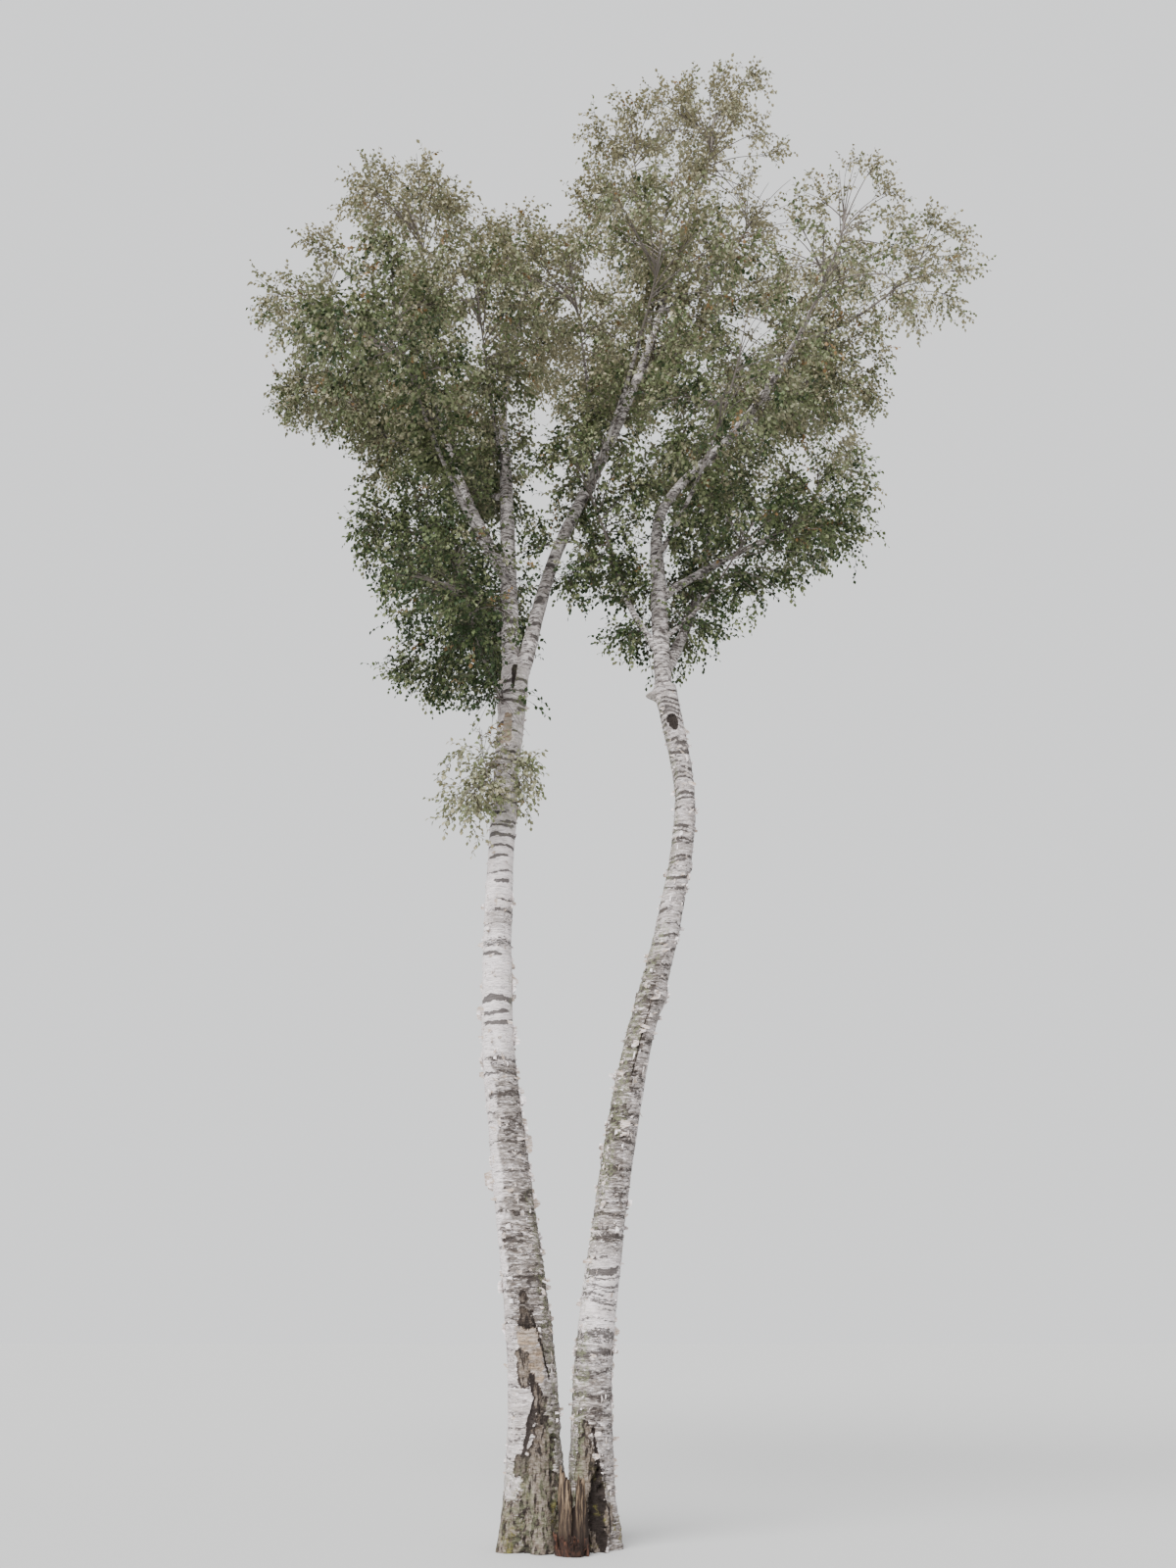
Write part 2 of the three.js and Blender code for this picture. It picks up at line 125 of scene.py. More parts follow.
BOUGHS = {
    "west_leader": (
        Bough("west_side", 0.23, -167, 74, 4.15, 1.15, 1.35),
        Bough("west_front", 0.21, -117, 31, 2.05, 1.05, 0.95),
        Bough("west_back", 0.46, 116, 47, 2.6, 1.3, 1.3),
        Bough("west_heart", 0.5, -102, 42, 1.1, 1.0, 0.95),
        Bough("west_low_left", 0.13, -165, 41, 0.8, 0.8, 0.85),
        Bough("west_low_back", 0.1, 125, 28, 0.95, 1.1, 0.95),
    ),
    "west_side": (
        Bough("west_shoulder", 0.53, -159, 42, 1.3, 0.85, 1.0),
        Bough("west_outer", 0.42, 150, 37, 1.4, 1.0, 1.1),
    ),
    "west_stem": (
        Bough("west_skirt", 0.93, -125, 47, 0.85, 0.85, 0.8),
        Bough("west_sprout", 0.79, -120, 40, 0.26, 0.38, 0.52),
    ),
    "west_long_leader": (
        Bough("long_left", 0.71, -126, 69, 1.15, 0.9, 1.15),
        Bough("long_right", 0.69, 27, 53, 1.8, 0.95, 1.15),
        Bough("long_front", 0.33, -69, 28, 1.7, 1.05, 0.95),
        Bough("long_back", 0.53, 97, 47, 2.3, 1.3, 1.3),
        Bough("long_mid_right", 0.56, 18, 48, 1.25, 1.05, 1.1),
        Bough("long_mid_left", 0.39, -116, 62, 1.15, 1.05, 1.05),
    ),
    "east_leader": (
        Bough("east_outer", 0.83, -8, 26, 1.15, 0.9, 0.95),
        Bough("east_front", 0.59, -61, 21, 1.5, 1.0, 0.95),
        Bough("east_back", 0.69, 71, 36, 2.05, 1.3, 1.3),
        Bough("east_mid", 0.61, 14, 39, 0.85, 0.9, 0.9),
        Bough("east_front_low", 0.28, -68, 21, 1.5, 1.0, 0.9),
        Bough("east_long", 0.19, -3, 31, 1.55, 0.85, 0.75, radius=0.044, sag=0.05),
        Bough("east_fork", 0.03, 45, 71, 3.0, 1.1, 1.1, radius=0.058),
        Bough("east_stub", 0.07, -164, 63, 1.05, 1.0, 1.0, radius=0.042),
        Bough("east_low", 0.1, -20, 42, 0.9, 0.9, 0.75),
    ),
}

# Marks on the stems' bark. Turns are in degrees, counter-clockwise from east, and -90 is the front.
# A wound is a place where the white bark has gone: its half height, half width and depth, how dark it is
# (0 is tan inner bark, 0.5 a grey-brown plate and 1 nearly black), how much it narrows upwards, and how many
# degrees its upper end is turned from its middle.
Wound = namedtuple("Wound", "height turn tall wide depth dark taper lean", defaults=(0, 0))
# A zone is a stretch of bark, with its middle turn and how far it spreads to each side
Zone = namedtuple("Zone", "low high turn spread strength")
# An arc is a dark line that runs level round a stem, with its half spread and half thickness
Arc = namedtuple("Arc", "height turn spread thick strength", defaults=(1,))
# A run is a stretch of bark with this many arcs
Run = namedtuple("Run", "low high count thick strength")
# A knot is the stump of a lost branch, or a swelling
Knot = namedtuple("Knot", "height turn radius out")

WOUNDS = {
    "west_stem": (
        Wound(1.77, -93, 0.045, 0.034, 0.012, 0.8),
        Wound(1.62, -92, 0.085, 0.062, 0.016, 0.8, 0.2),
        Wound(1.46, -93, 0.1, 0.09, 0.008, 0.05),
        Wound(1.44, -62, 0.24, 0.011, 0.014, 1.0, 0, -18),
        Wound(1.27, -108, 0.14, 0.055, 0.012, 0.5),
        Wound(1.32, -88, 0.09, 0.04, 0.008, 0.0),
        Wound(1.2, -86, 0.1, 0.022, 0.02, 1.0),
        Wound(1.27, -70, 0.13, 0.034, 0.008, 0.0),
        Wound(1.06, -76, 0.1, 0.034, 0.016, 0.7, 0.3, -4),
        Wound(0.44, -74, 0.56, 0.155, 0.02, 0.5, 0.62, 9),
        Wound(0.66, -45, 0.13, 0.02, 0.03, 1.0, -0.3, 6),
        # Thin black wounds at the foot plate's left edge and apex: its cracks, with painted shade under its
        # lifted lip
        Wound(0.78, -99, 0.15, 0.02, 0.018, 1.0, 0, 12),
        Wound(0.95, -87, 0.1, 0.024, 0.016, 1.0, 0, 10),
        Wound(0.58, -114, 0.07, 0.055, 0.014, 0.8),
        Wound(0.26, -93, 0.15, 0.018, 0.006, 0.0),
        Wound(7.05, -98, 0.19, 0.045, 0.01, 0.0, 0.2),
        Wound(7.64, -90, 0.13, 0.02, 0.014, 1.0, -0.4),
        Wound(1.3, 10, 0.3, 0.05, 0.014, 0.75, 0.3),
        Wound(0.35, 40, 0.5, 0.14, 0.02, 0.6, 0.5),
        Wound(0.35, 150, 0.4, 0.12, 0.02, 0.6, 0.5),
        Wound(2.7, 70, 0.16, 0.04, 0.015, 0.9),
        Wound(1.5, 110, 0.22, 0.05, 0.015, 0.85, 0.3),
    ),
    "east_stem": (
        Wound(0.22, -79, 0.31, 0.075, 0.07, 1.0, 0.3, 4),
        Wound(0.55, -70, 0.24, 0.013, 0.02, 1.0, 0, -15),
        Wound(0.55, -108, 0.32, 0.075, 0.012, 0.5, 0.3),
        Wound(0.62, -124, 0.2, 0.012, 0.016, 0.95),
        Wound(0.3, 60, 0.42, 0.1, 0.02, 0.6, 0.5),
        Wound(0.25, 165, 0.3, 0.1, 0.02, 0.65, 0.5),
        Wound(3.3, 100, 0.2, 0.04, 0.014, 0.8),
        Wound(3.9, -84, 0.28, 0.007, 0.008, 0.9, 0, 4),
        Wound(7.14, -95, 0.085, 0.045, 0.02, 1.0),
    ),
}
ROUGH_ZONES = {
    "west_stem": (
        Zone(0.0, 1.35, -35, 60, 0.7),
        Zone(0.3, 1.9, -140, 62, 0.42),
        Zone(1.2, 2.7, -45, 82, 0.92),
        Zone(2.5, 3.75, -45, 82, 0.72),
        Zone(4.7, 4.85, -80, 130, 0.45),
        Zone(4.9, 5.22, -72, 75, 0.5),
        Zone(6.0, 7.9, -80, 180, 0.35),
        Zone(1.0, 4.2, 110, 70, 0.7),
    ),
    "east_stem": (
        Zone(0.0, 1.3, -120, 80, 0.75),
        Zone(0.0, 1.5, -80, 180, 0.55),
        Zone(2.0, 2.6, -80, 180, 0.5),
        Zone(2.1, 2.75, -110, 95, 0.7),
        Zone(2.6, 4.75, -135, 78, 1.0),
        Zone(2.5, 4.7, -70, 70, 0.6),
        # The upper east stem is greyer: partly dull bark, partly painted shade of the crown above it
        Zone(4.5, 7.7, -90, 180, 0.48),
        Zone(1.6, 4.0, 80, 60, 0.6),
    ),
}
ARCS = {
    "west_stem": (
        Arc(7.62, -85, 110, 0.022), Arc(7.5, -100, 90, 0.018), Arc(7.38, -80, 110, 0.026),
        Arc(6.0, -95, 75, 0.016), Arc(5.9, -80, 100, 0.022), Arc(5.78, -85, 110, 0.014),
        Arc(5.67, -100, 60, 0.016), Arc(5.43, -75, 40, 0.02), Arc(5.13, -60, 50, 0.014, 0.7),
        Arc(4.81, -85, 110, 0.045, 0.5), Arc(4.7, -115, 55, 0.02), Arc(4.27, -80, 100, 0.034),
        Arc(4.15, -110, 80, 0.018), Arc(4.06, -75, 80, 0.02), Arc(3.72, -70, 90, 0.02, 0.6),
        Arc(3.6, -100, 100, 0.016, 0.7), Arc(3.42, -70, 90, 0.03, 0.6),
    ),
    "east_stem": (
        Arc(2.23, -85, 100, 0.02, 0.7), Arc(1.97, -95, 75, 0.03, 0.85), Arc(1.86, -75, 85, 0.014, 0.6),
        Arc(1.79, -120, 55, 0.016, 0.7), Arc(1.73, -70, 60, 0.014, 0.6), Arc(1.49, -90, 130, 0.045, 0.6),
        Arc(1.35, -85, 100, 0.026, 0.75), Arc(1.22, -90, 120, 0.02, 0.5), Arc(1.05, -95, 110, 0.028, 0.6),
        Arc(0.92, -80, 110, 0.024, 0.5),
    ),
}
RUNS = {
    "west_stem": (Run(0.5, 3.5, 26, 0.014, 0.55), Run(5.0, 5.5, 5, 0.01, 0.7),
                  Run(6.05, 7.3, 14, 0.018, 0.9)),
    "east_stem": (Run(0.5, 1.5, 10, 0.018, 0.4), Run(1.6, 2.3, 10, 0.012, 0.5), Run(2.3, 4.7, 22, 0.014, 0.6),
                  Run(4.75, 7.5, 42, 0.018, 0.85)),
}
LICHEN_ZONES = {
    "west_stem": (Zone(0.0, 0.55, -90, 180, 0.4), Zone(0.5, 2.6, -18, 40, 0.5), Zone(5.9, 7.8, -20, 90, 0.4),
                  Zone(4.15, 4.6, 0, 42, 0.6)),
    "east_stem": (Zone(2.5, 5.0, -150, 58, 0.7), Zone(0.2, 1.6, -150, 45, 0.6), Zone(1.6, 2.5, -160, 30, 0.5),
                  Zone(5.2, 7.5, 150, 90, 0.5)),
}
KNOTS = {
    "west_stem": (Knot(6.9, -60, 0.07, 0.03), Knot(5.95, -100, 0.05, 0.025), Knot(7.35, -150, 0.06, 0.03)),
    "east_stem": (Knot(7.5, 178, 0.045, 0.1), Knot(7.14, -95, 0.09, 0.03), Knot(5.6, 20, 0.06, 0.025),
                  Knot(4.3, 0, 0.11, 0.035)),
}


def colour(name, description, default):
    """A colour that the user can change."""
    return FloatVectorProperty(name=name, description=description, subtype="COLOR", size=3,
                               min=0, max=1, default=default)


def length(name, description, default):
    """A size that the user can change."""
    return FloatProperty(name=name, description=description, unit="LENGTH", min=0, default=default)


class BirchBarkSettings(bpy.types.PropertyGroup):
    """Sizes and colours of the bark"""

    relief: FloatProperty(name="Relief", description="Depth of the bark's relief, as a share of the real one",
                          subtype="FACTOR", min=0, max=2, default=1)
    curl_length: length("Curl length", "Length of the longest curl of loose bark", 0.085)
    curls: IntProperty(name="Curls", description="Curls of loose bark for each metre of stem",
                       min=0, default=150)
    white: colour("White", "Outer layer of the white bark", (0.83, 0.765, 0.775))
    cream: colour("Cream", "Weathered white bark", (0.4, 0.34, 0.3))
    grey: colour("Grey", "Dull bark between the white layers", (0.18, 0.155, 0.14))
    mark: colour("Mark", "Level marks, cracks and wounds", (0.025, 0.018, 0.015))
    tan: colour("Tan", "Inner bark where the outer layer has come off", (0.36, 0.26, 0.18))
    plate: colour("Plate", "Furrowed old bark where the white has gone", (0.14, 0.108, 0.082))
    lichen: colour("Lichen", "Grey-green growth on the rough bark", (0.18, 0.19, 0.11))
    moss: colour("Moss", "Moss round the foot", (0.15, 0.135, 0.035))
    young: colour("Young bark", "Bark of the leaders and thick boughs", (0.74, 0.68, 0.665))
    thin: colour("Thin bough", "Bark of the thin boughs", (0.17, 0.145, 0.13))
    twig: colour("Twig", "Bark of the twigs", (0.062, 0.046, 0.038))


class BirchLeafSettings(bpy.types.PropertyGroup):
    """Sizes and tints of the twigs and leaves"""

    leaf_length: length("Leaf length", "Length of a large leaf", 0.061)
    leaf_width: FloatProperty(name="Leaf width", description="Width of a leaf, as a share of its length",
                              subtype="FACTOR", min=0.1, max=1, default=0.72)
    fold: FloatProperty(name="Fold", description="How far each half of a leaf is folded up from flat",
                        subtype="ANGLE", unit="ROTATION", default=math.radians(16))
    spray_spacing: length("Spray spacing", "Distance between two sprays of leaves along a twig", 0.046)
    leaves_per_spray: IntProperty(name="Leaves in a spray", description="Leaves on one sprig",
                                  min=1, default=6)
    # Deep to straw go from the foot of the crown to its top: painted shade low down and painted light at the
    # top, with leaves turning at the top
    deep: colour("Deep green", "Leaves low down and inside", (0.026, 0.046, 0.014))
    green: colour("Green", "Leaves of the lower crown", (0.094, 0.12, 0.048))
    olive: colour("Olive", "Leaves of the middle crown", (0.172, 0.192, 0.095))
    gold_green: colour("Gold green", "Leaves of the upper crown", (0.228, 0.228, 0.137))
    straw: colour("Straw", "Turning leaves at the top", (0.31, 0.283, 0.178))
    amber: colour("Amber", "A few leaves that have turned", (0.24, 0.15, 0.065))


class BirchStumpSettings(bpy.types.PropertyGroup):
    """Sizes and colours of the old stump"""

    splinters: IntProperty(name="Splinters", description="Low splinters round the back", min=0, default=12)
    chunks: IntProperty(name="Chunks", description="Broken chunks at the foot", min=0, default=34)
    heart: colour("Heartwood", "Tan wood of the splinters", (0.23, 0.16, 0.1))
    ember: colour("Ember", "Red-brown wood of the broken chunks", (0.16, 0.066, 0.04))
    rot: colour("Rot", "Dark rotten wood", (0.022, 0.014, 0.011))


class BirchStageSettings(bpy.types.PropertyGroup):
    """Floor, light and camera"""

    floor: colour("Floor", "Plain pale floor", (0.47, 0.47, 0.465))
    sky: colour("Surroundings", "Plain pale surroundings", (0.93, 0.94, 0.95))
    sky_strength: FloatProperty(name="Soft light", description="Strength of the light from all round",
                                min=0, default=1.3)
    key_strength: FloatProperty(name="Key light", description="Strength of the soft light from the front",
                                min=0, default=6.5)
    eye_height: length("Eye height", "Height of the camera", EYE_HEIGHT)
    distance: length("Distance", "From the camera to the stems", CAMERA_DISTANCE)
    tilt: FloatProperty(name="Tilt", description="How far the camera looks up", subtype="ANGLE",
                        unit="ROTATION", default=math.radians(25))


# Curves and limbs


def mix(values, share):
    """The value at a share of a list of values at equal steps."""
    return np.interp(share, np.linspace(0, 1, len(values)), values)


def ease(value, low, high):
    """0 below low, 1 above high, and smooth between them."""
    share = np.clip((value - low) / (high - low), 0, 1)
    return share * share * (3 - 2 * share)


def unit(vectors):
    """The vectors, each at length 1."""
    return vectors / np.maximum(np.linalg.norm(vectors, axis=-1, keepdims=True), TINY)


def direction(heading, rise):
    """The direction at a heading counter-clockwise from east and a rise above level, in degrees."""
    heading, rise = np.radians(heading), np.radians(rise)
    return np.array([np.cos(heading) * np.cos(rise), np.sin(heading) * np.cos(rise), np.sin(rise)])


def smooth_curve(stations):
    """A curve through these points, with its ends carried on straight."""
    points = np.array(stations, float)
    points = np.vstack([2 * points[0] - points[1], points, 2 * points[-1] - points[-2]])

    def curve(share):
        place = np.clip(share, 0, 1) * (len(points) - 3)
        step = np.minimum(place.astype(int), len(points) - 4)
        rest = (place - step)[..., None]
        before, start, end, after = (points[step + shift] for shift in range(4))
        leave, arrive = (end - before) / 2, (after - start) / 2
        square = 3 * (end - start) - 2 * leave - arrive
        cube = 2 * (start - end) + leave + arrive
        return start + leave * rest + square * rest**2 + cube * rest**3

    return curve


def bent(start, bend, end, share):
    """Points of a curve that leaves start towards bend and arrives at end."""
    share = np.asarray(share)[..., None]
    return (1 - share) ** 2 * start + 2 * share * (1 - share) * bend + share**2 * end


def bent_heading(start, bend, end, share):
    """The heading of such a curve."""
    share = np.asarray(share)[..., None]
    return unit((1 - share) * (bend - start) + share * (end - bend))


def heading_along(curve, share):
    """The heading of a curve at each share."""
    return unit(curve(np.minimum(share + CURVE_STEP, 1)) - curve(np.maximum(share - CURVE_STEP, 0)))


def circle(first, second, turn):
    """The direction at a turn from the first direction towards the second."""
    return first * np.cos(turn)[..., None] + second * np.sin(turn)[..., None]


def upright_limb(row):
    """A stem or leader."""
    shares = np.linspace(0, 1, len(row.sway))
    stations = [np.add(row.foot, (sway, row.depth * share, row.height * share))
                for sway, share in zip(row.sway, shares)]
    side = np.array([0.0, 1.0, 0.0])
    return Limb(row.name, smooth_curve(stations), row.radius, side, row.flare, row.flare > 0, row.height)


def bough_limb(row, parent):
    """A bough that leaves its parent."""
    heading = direction(row.heading, row.rise)
    across = direction(row.heading + 90, 0)
    above = -np.cross(heading, across)
    above *= np.sign(above[2])
    foot = parent.curve(np.array(row.at))
    tip = foot + heading * row.length
    bend = foot + heading * row.length / 2 + above * row.length * row.sag
    radius = row.radius or BOUGH_RADIUS + BOUGH_GIRTH * row.length
    taper = [share * radius for share in BOUGH_TAPER]
    name = f"{row.name}_bough"
    return Limb(name, lambda share: bent(foot, bend, tip, share), taper, across, 0, False, row.length)


def all_limbs():
    """Every stem, leader and bough by the name of its row."""
    limbs = {row.name: upright_limb(row) for row in UPRIGHTS}
    for parent, rows in BOUGHS.items():
        for row in rows:
            limbs[row.name] = bough_limb(row, limbs[parent])
    return limbs


def limb_radius(limb, share, turn):
    """Distance from a limb's middle to its skin, without the bark's relief."""
    swell = limb.flare * np.exp(-limb.curve(share)[..., 2] / FLARE_HEIGHT)
    lobes = 1 + swell / max(limb.flare, TINY) * FLARE_LOBE_DEPTH * np.cos(FLARE_LOBES * turn)
    return (mix(limb.radius, share) + swell) * lobes


def cross_axes(limb, share):
    """Two directions across a limb at each share: turns are counted from the first towards the second."""
    tangent = np.broadcast_to(UP, share.shape + (3,)) if limb.level else heading_along(limb.curve, share)
    side = unit(limb.side - tangent * (tangent @ limb.side)[..., None])
    return np.cross(side, tangent), side


# Random fields on a limb's skin

ZONE_RAG = 0.95
ZONE_CELLS = (8, 0.17)
ZONE_FADE = 0.15
ZONE_EDGE = (0.75, 1.05)


def skin_cells(turn, height, around, step, seed):
    """Smooth random values from 0 to 1, in cells that close up round the limb."""
    table = np.random.default_rng(seed).random((int(np.max(height) / step) + 3, around))
    row, column = height / step, (turn / FULL_TURN % 1) * around
    low, left = np.floor(row).astype(int), np.floor(column).astype(int) % around
    right = (left + 1) % around
    up, over = ease(row - np.floor(row), 0, 1), ease(column - np.floor(column), 0, 1)
    below, above = (table[line, left] * (1 - over) + table[line, right] * over for line in (low, low + 1))
    return below * (1 - up) + above * up


def skin_noise(turn, height, around, step, seed, layers=3):
    """Such values with finer layers added."""
    weights = [0.5**layer for layer in range(layers)]
    values = [weight * skin_cells(turn, height, around << layer, step / 2**layer, seed + layer)
              for layer, weight in enumerate(weights)]
    return sum(values) / sum(weights)


def rim_noise(turn, around, seed):
    """Such values round a level rim."""
    return skin_noise(turn, np.zeros(1), around, 1, seed)


def ridges(noise):
    """Sharp crests where the noise passes its middle."""
    return 1 - np.abs(2 * noise - 1)


def turn_between(turn, middle):
    """The shorter way round from middle to turn, in radians."""
    return (turn - np.radians(middle) + math.pi) % FULL_TURN - math.pi


def zone_strength(zones, turn, height, seed):
    """How strong the zones are at each point, with ragged edges."""
    ragged = ZONE_RAG * (skin_noise(turn, height, *ZONE_CELLS, seed, 4) - 0.5)
    strength = np.zeros_like(turn)
    for zone in zones:
        above, below = (ease(height, end - ZONE_FADE, end + ZONE_FADE) for end in (zone.low, zone.high))
        spread = np.abs(turn_between(turn, zone.turn)) / math.radians(zone.spread) + ragged
        strength = np.maximum(strength, zone.strength * (above - below) * (1 - ease(spread, *ZONE_EDGE)))
    return strength


# Meshes


def new_mesh(name, points, *face_groups):
    """A mesh of these points and of arrays of faces, each with its own number of corners."""
    mesh = bpy.data.meshes.new(name)
    points = np.ascontiguousarray(points, np.float32).reshape(-1, 3)
    mesh.vertices.add(len(points))
    mesh.vertices.foreach_set("co", points.ravel())
    groups = [np.asarray(group, np.int32) for group in face_groups if len(group)]
    corners = np.concatenate([group.ravel() for group in groups])
    counts = np.concatenate([np.full(len(group), group.shape[1]) for group in groups])
    mesh.loops.add(len(corners))
    mesh.loops.foreach_set("vertex_index", corners)
    mesh.polygons.add(len(counts))
    mesh.polygons.foreach_set("loop_start", (np.cumsum(counts) - counts).astype(np.int32))
    mesh.update(calc_edges=True)
    return mesh


def set_smooth(mesh, smooth=True):
    """Smooth or flat shading all over."""
    mesh.polygons.foreach_set("use_smooth", np.full(len(mesh.polygons), smooth))


def set_values(mesh, **values):
    """Stores a named number at each point, for the materials to read."""
    for name, numbers in values.items():
        attribute = mesh.attributes.new(name, "FLOAT", "POINT")
        attribute.data.foreach_set("value", np.ascontiguousarray(numbers, np.float32).ravel())


def set_uv(mesh, across, along):
    """Lays the mesh flat by two numbers at each point."""
    corner_points = np.zeros(len(mesh.loops), np.int32)
    mesh.loops.foreach_get("vertex_index", corner_points)
    places = np.stack([across.ravel()[corner_points], along.ravel()[corner_points]], axis=1)
    layer = mesh.uv_layers.new(name="UVMap")
    layer.data.foreach_set("uv", places.astype(np.float32).ravel())


def add_object(name, data):
    """A new object in the scene."""
    thing = bpy.data.objects.new(name, data)
    bpy.context.scene.collection.objects.link(thing)
    return thing


def add_piece(mesh, replaced, materials, face_materials=None):
    """Puts a mesh in the scene as a piece that rides with the tree and stands for these nodes."""
    for material in materials:
        mesh.materials.append(material)
    if face_materials is not None:
        mesh.polygons.foreach_set("material_index", np.asarray(face_materials, np.int32))
    piece = add_object(mesh.name, mesh)
    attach(piece, BODY)
    if replaced:
        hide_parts(*replaced)


def tube_faces(rings, sides):
    """Quads between rings of points, the last side closing on the first."""
    ring, side = np.meshgrid(np.arange(rings - 1), np.arange(sides), indexing="ij")
    after = (side + 1) % sides
    low, high = ring * sides, (ring + 1) * sides
    return np.stack([low + side, low + after, high + after, high + side], axis=-1).reshape(-1, 4)


def end_faces(rings, sides):
    """Triangles from the first and last ring to a point at each end, which come after the rings."""
    side = np.arange(sides)
    after = (side + 1) % sides
    last, centre = (rings - 1) * sides, np.full(sides, rings * sides)
    bottom = np.stack([after, side, centre], axis=1)
    top = np.stack([last + side, last + after, centre + 1], axis=1)
    return np.concatenate([bottom, top])


def repeated(faces, count, points):
    """The faces of one shape, repeated for shapes with this many points each."""
    return (faces + np.arange(count)[:, None, None] * points).reshape(-1, faces.shape[1])


def limb_mesh(limb, share, sides, relief_of):
    """A limb's skin with relief. relief_of gives the relief and the numbers kept for the materials."""
    turn = np.broadcast_to(np.linspace(0, FULL_TURN, sides, endpoint=False), (len(share), sides))
    shares = np.broadcast_to(share[:, None], turn.shape)
    first, second = cross_axes(limb, share)
    radius = limb_radius(limb, shares, turn)
    relief, values = relief_of(turn, shares, radius)
    middles = limb.curve(share)
    around = circle(first[:, None], second[:, None], turn)
    points = middles[:, None] + around * (radius + relief)[..., None]
    if limb.level:
        points[..., 2] = middles[:, None, 2]
    mesh = new_mesh(f"{limb.name}_bark", np.vstack([points.reshape(-1, 3), middles[[0, -1]]]),
                    tube_faces(len(share), sides), end_faces(len(share), sides))
    set_smooth(mesh)
    set_values(mesh, **{key: np.append(numbers.ravel(), [0, 0]) for key, numbers in values.items()})
    set_uv(mesh, np.append(turn / FULL_TURN, [0, 0]), np.append(shares, [0, 1]))
    return mesh


# Materials

GLOSS = 0.25
# A layer of noise has its cells for each metre along each axis, its detail and roughness, the two values of
# the noise between which it comes in, and its strength before and after where that isn't 0 and 1
WHITE_LAYERS = {
    "soft": ((3, 3, 6), 3, 0.5, 0.38, 0.7, 0, 0.3),
    "worn": ((16, 16, 60), 4, 0.62, 0.36, 0.56),
    "streak": ((6, 6, 44), 4, 0.65, 0.44, 0.58),
    "fleck": ((15, 15, 84), 4, 0.64, 0.49, 0.56),
    "dull": ((8, 8, 26), 4, 0.6, 0.48, 0.58),
    "dash": ((13, 13, 150), 1, 0.5, 0.61, 0.67, 0, 0.42),
    "ragged": ((30, 30, 100), 3, 0.65, 0.25, 0.75, -0.4, 0.4),
    "mottle": ((12, 12, 30), 3, 0.5, 0.35, 0.65),
    "inner": ((9, 9, 110), 4, 0.6, 0.45, 0.62, 0, 0.7),
    "flaky": ((24, 24, 40), 4, 0.65, 0.4, 0.62, 0, 0.42),
    "blotch": ((26, 26, 26), 4, 0.65, 0.45, 0.58),
    "tuft": ((14, 14, 14), 5, 0.7, 0.5, 0.62),
}
# Layers that are stronger on rough bark: where that starts, and their least and most strength
ROUGH_LAYERS = {
    "worn": (0, 0.2, 0.8), "streak": (0, 0.22, 0.85), "fleck": (0.1, 0, 0.82), "dull": (0.2, 0, 0.72),
}
UPPER_LAYERS = {
    "soft": ((5, 5, 5), 3, 0.5, 0.35, 0.65, 0, 0.5),
    "streak": ((10, 10, 40), 4, 0.65, 0.46, 0.58),
    "dash": ((18, 18, 60), 2, 0.6, 0.55, 0.61, 0, 0.85),
    "patch": ((6, 6, 16), 3, 0.6, 0.56, 0.62, 0, 0.8),
}
OUTSIDE_LAYER = ((14, 14, 60), 2, 0.5, 0.4, 0.65, 0, 0.9)
INSIDE_LAYER = ((20, 20, 90), 2, 0.5, 0.35, 0.6)
PLATE_GRAIN = ((34, 34, 8), 5, 0.7)
WOOD_GRAIN = ((70, 70, 5), 5, 0.7)
# The two values between which each thing comes in
MARK_EDGE = (0.3, 0.62, 0, 0.88)
CRACK_EDGE = (0.53, 0.42)
BARE_EDGE = (0.1, 0.4)
DEEP_EDGE = (0.6, 0.98)
TORN_EDGE = (0.36, 0.56)
WOOD_EDGE = (0.45, 0.62)
BARK_ROUGHNESS = (0.5, 0.9)
# Height and strength of the fine relief
BARK_BUMP = (0.008, 0.9)
UPPER_BUMP = (0.006, 0.8)
WOOD_BUMP = (0.01, 0.9)


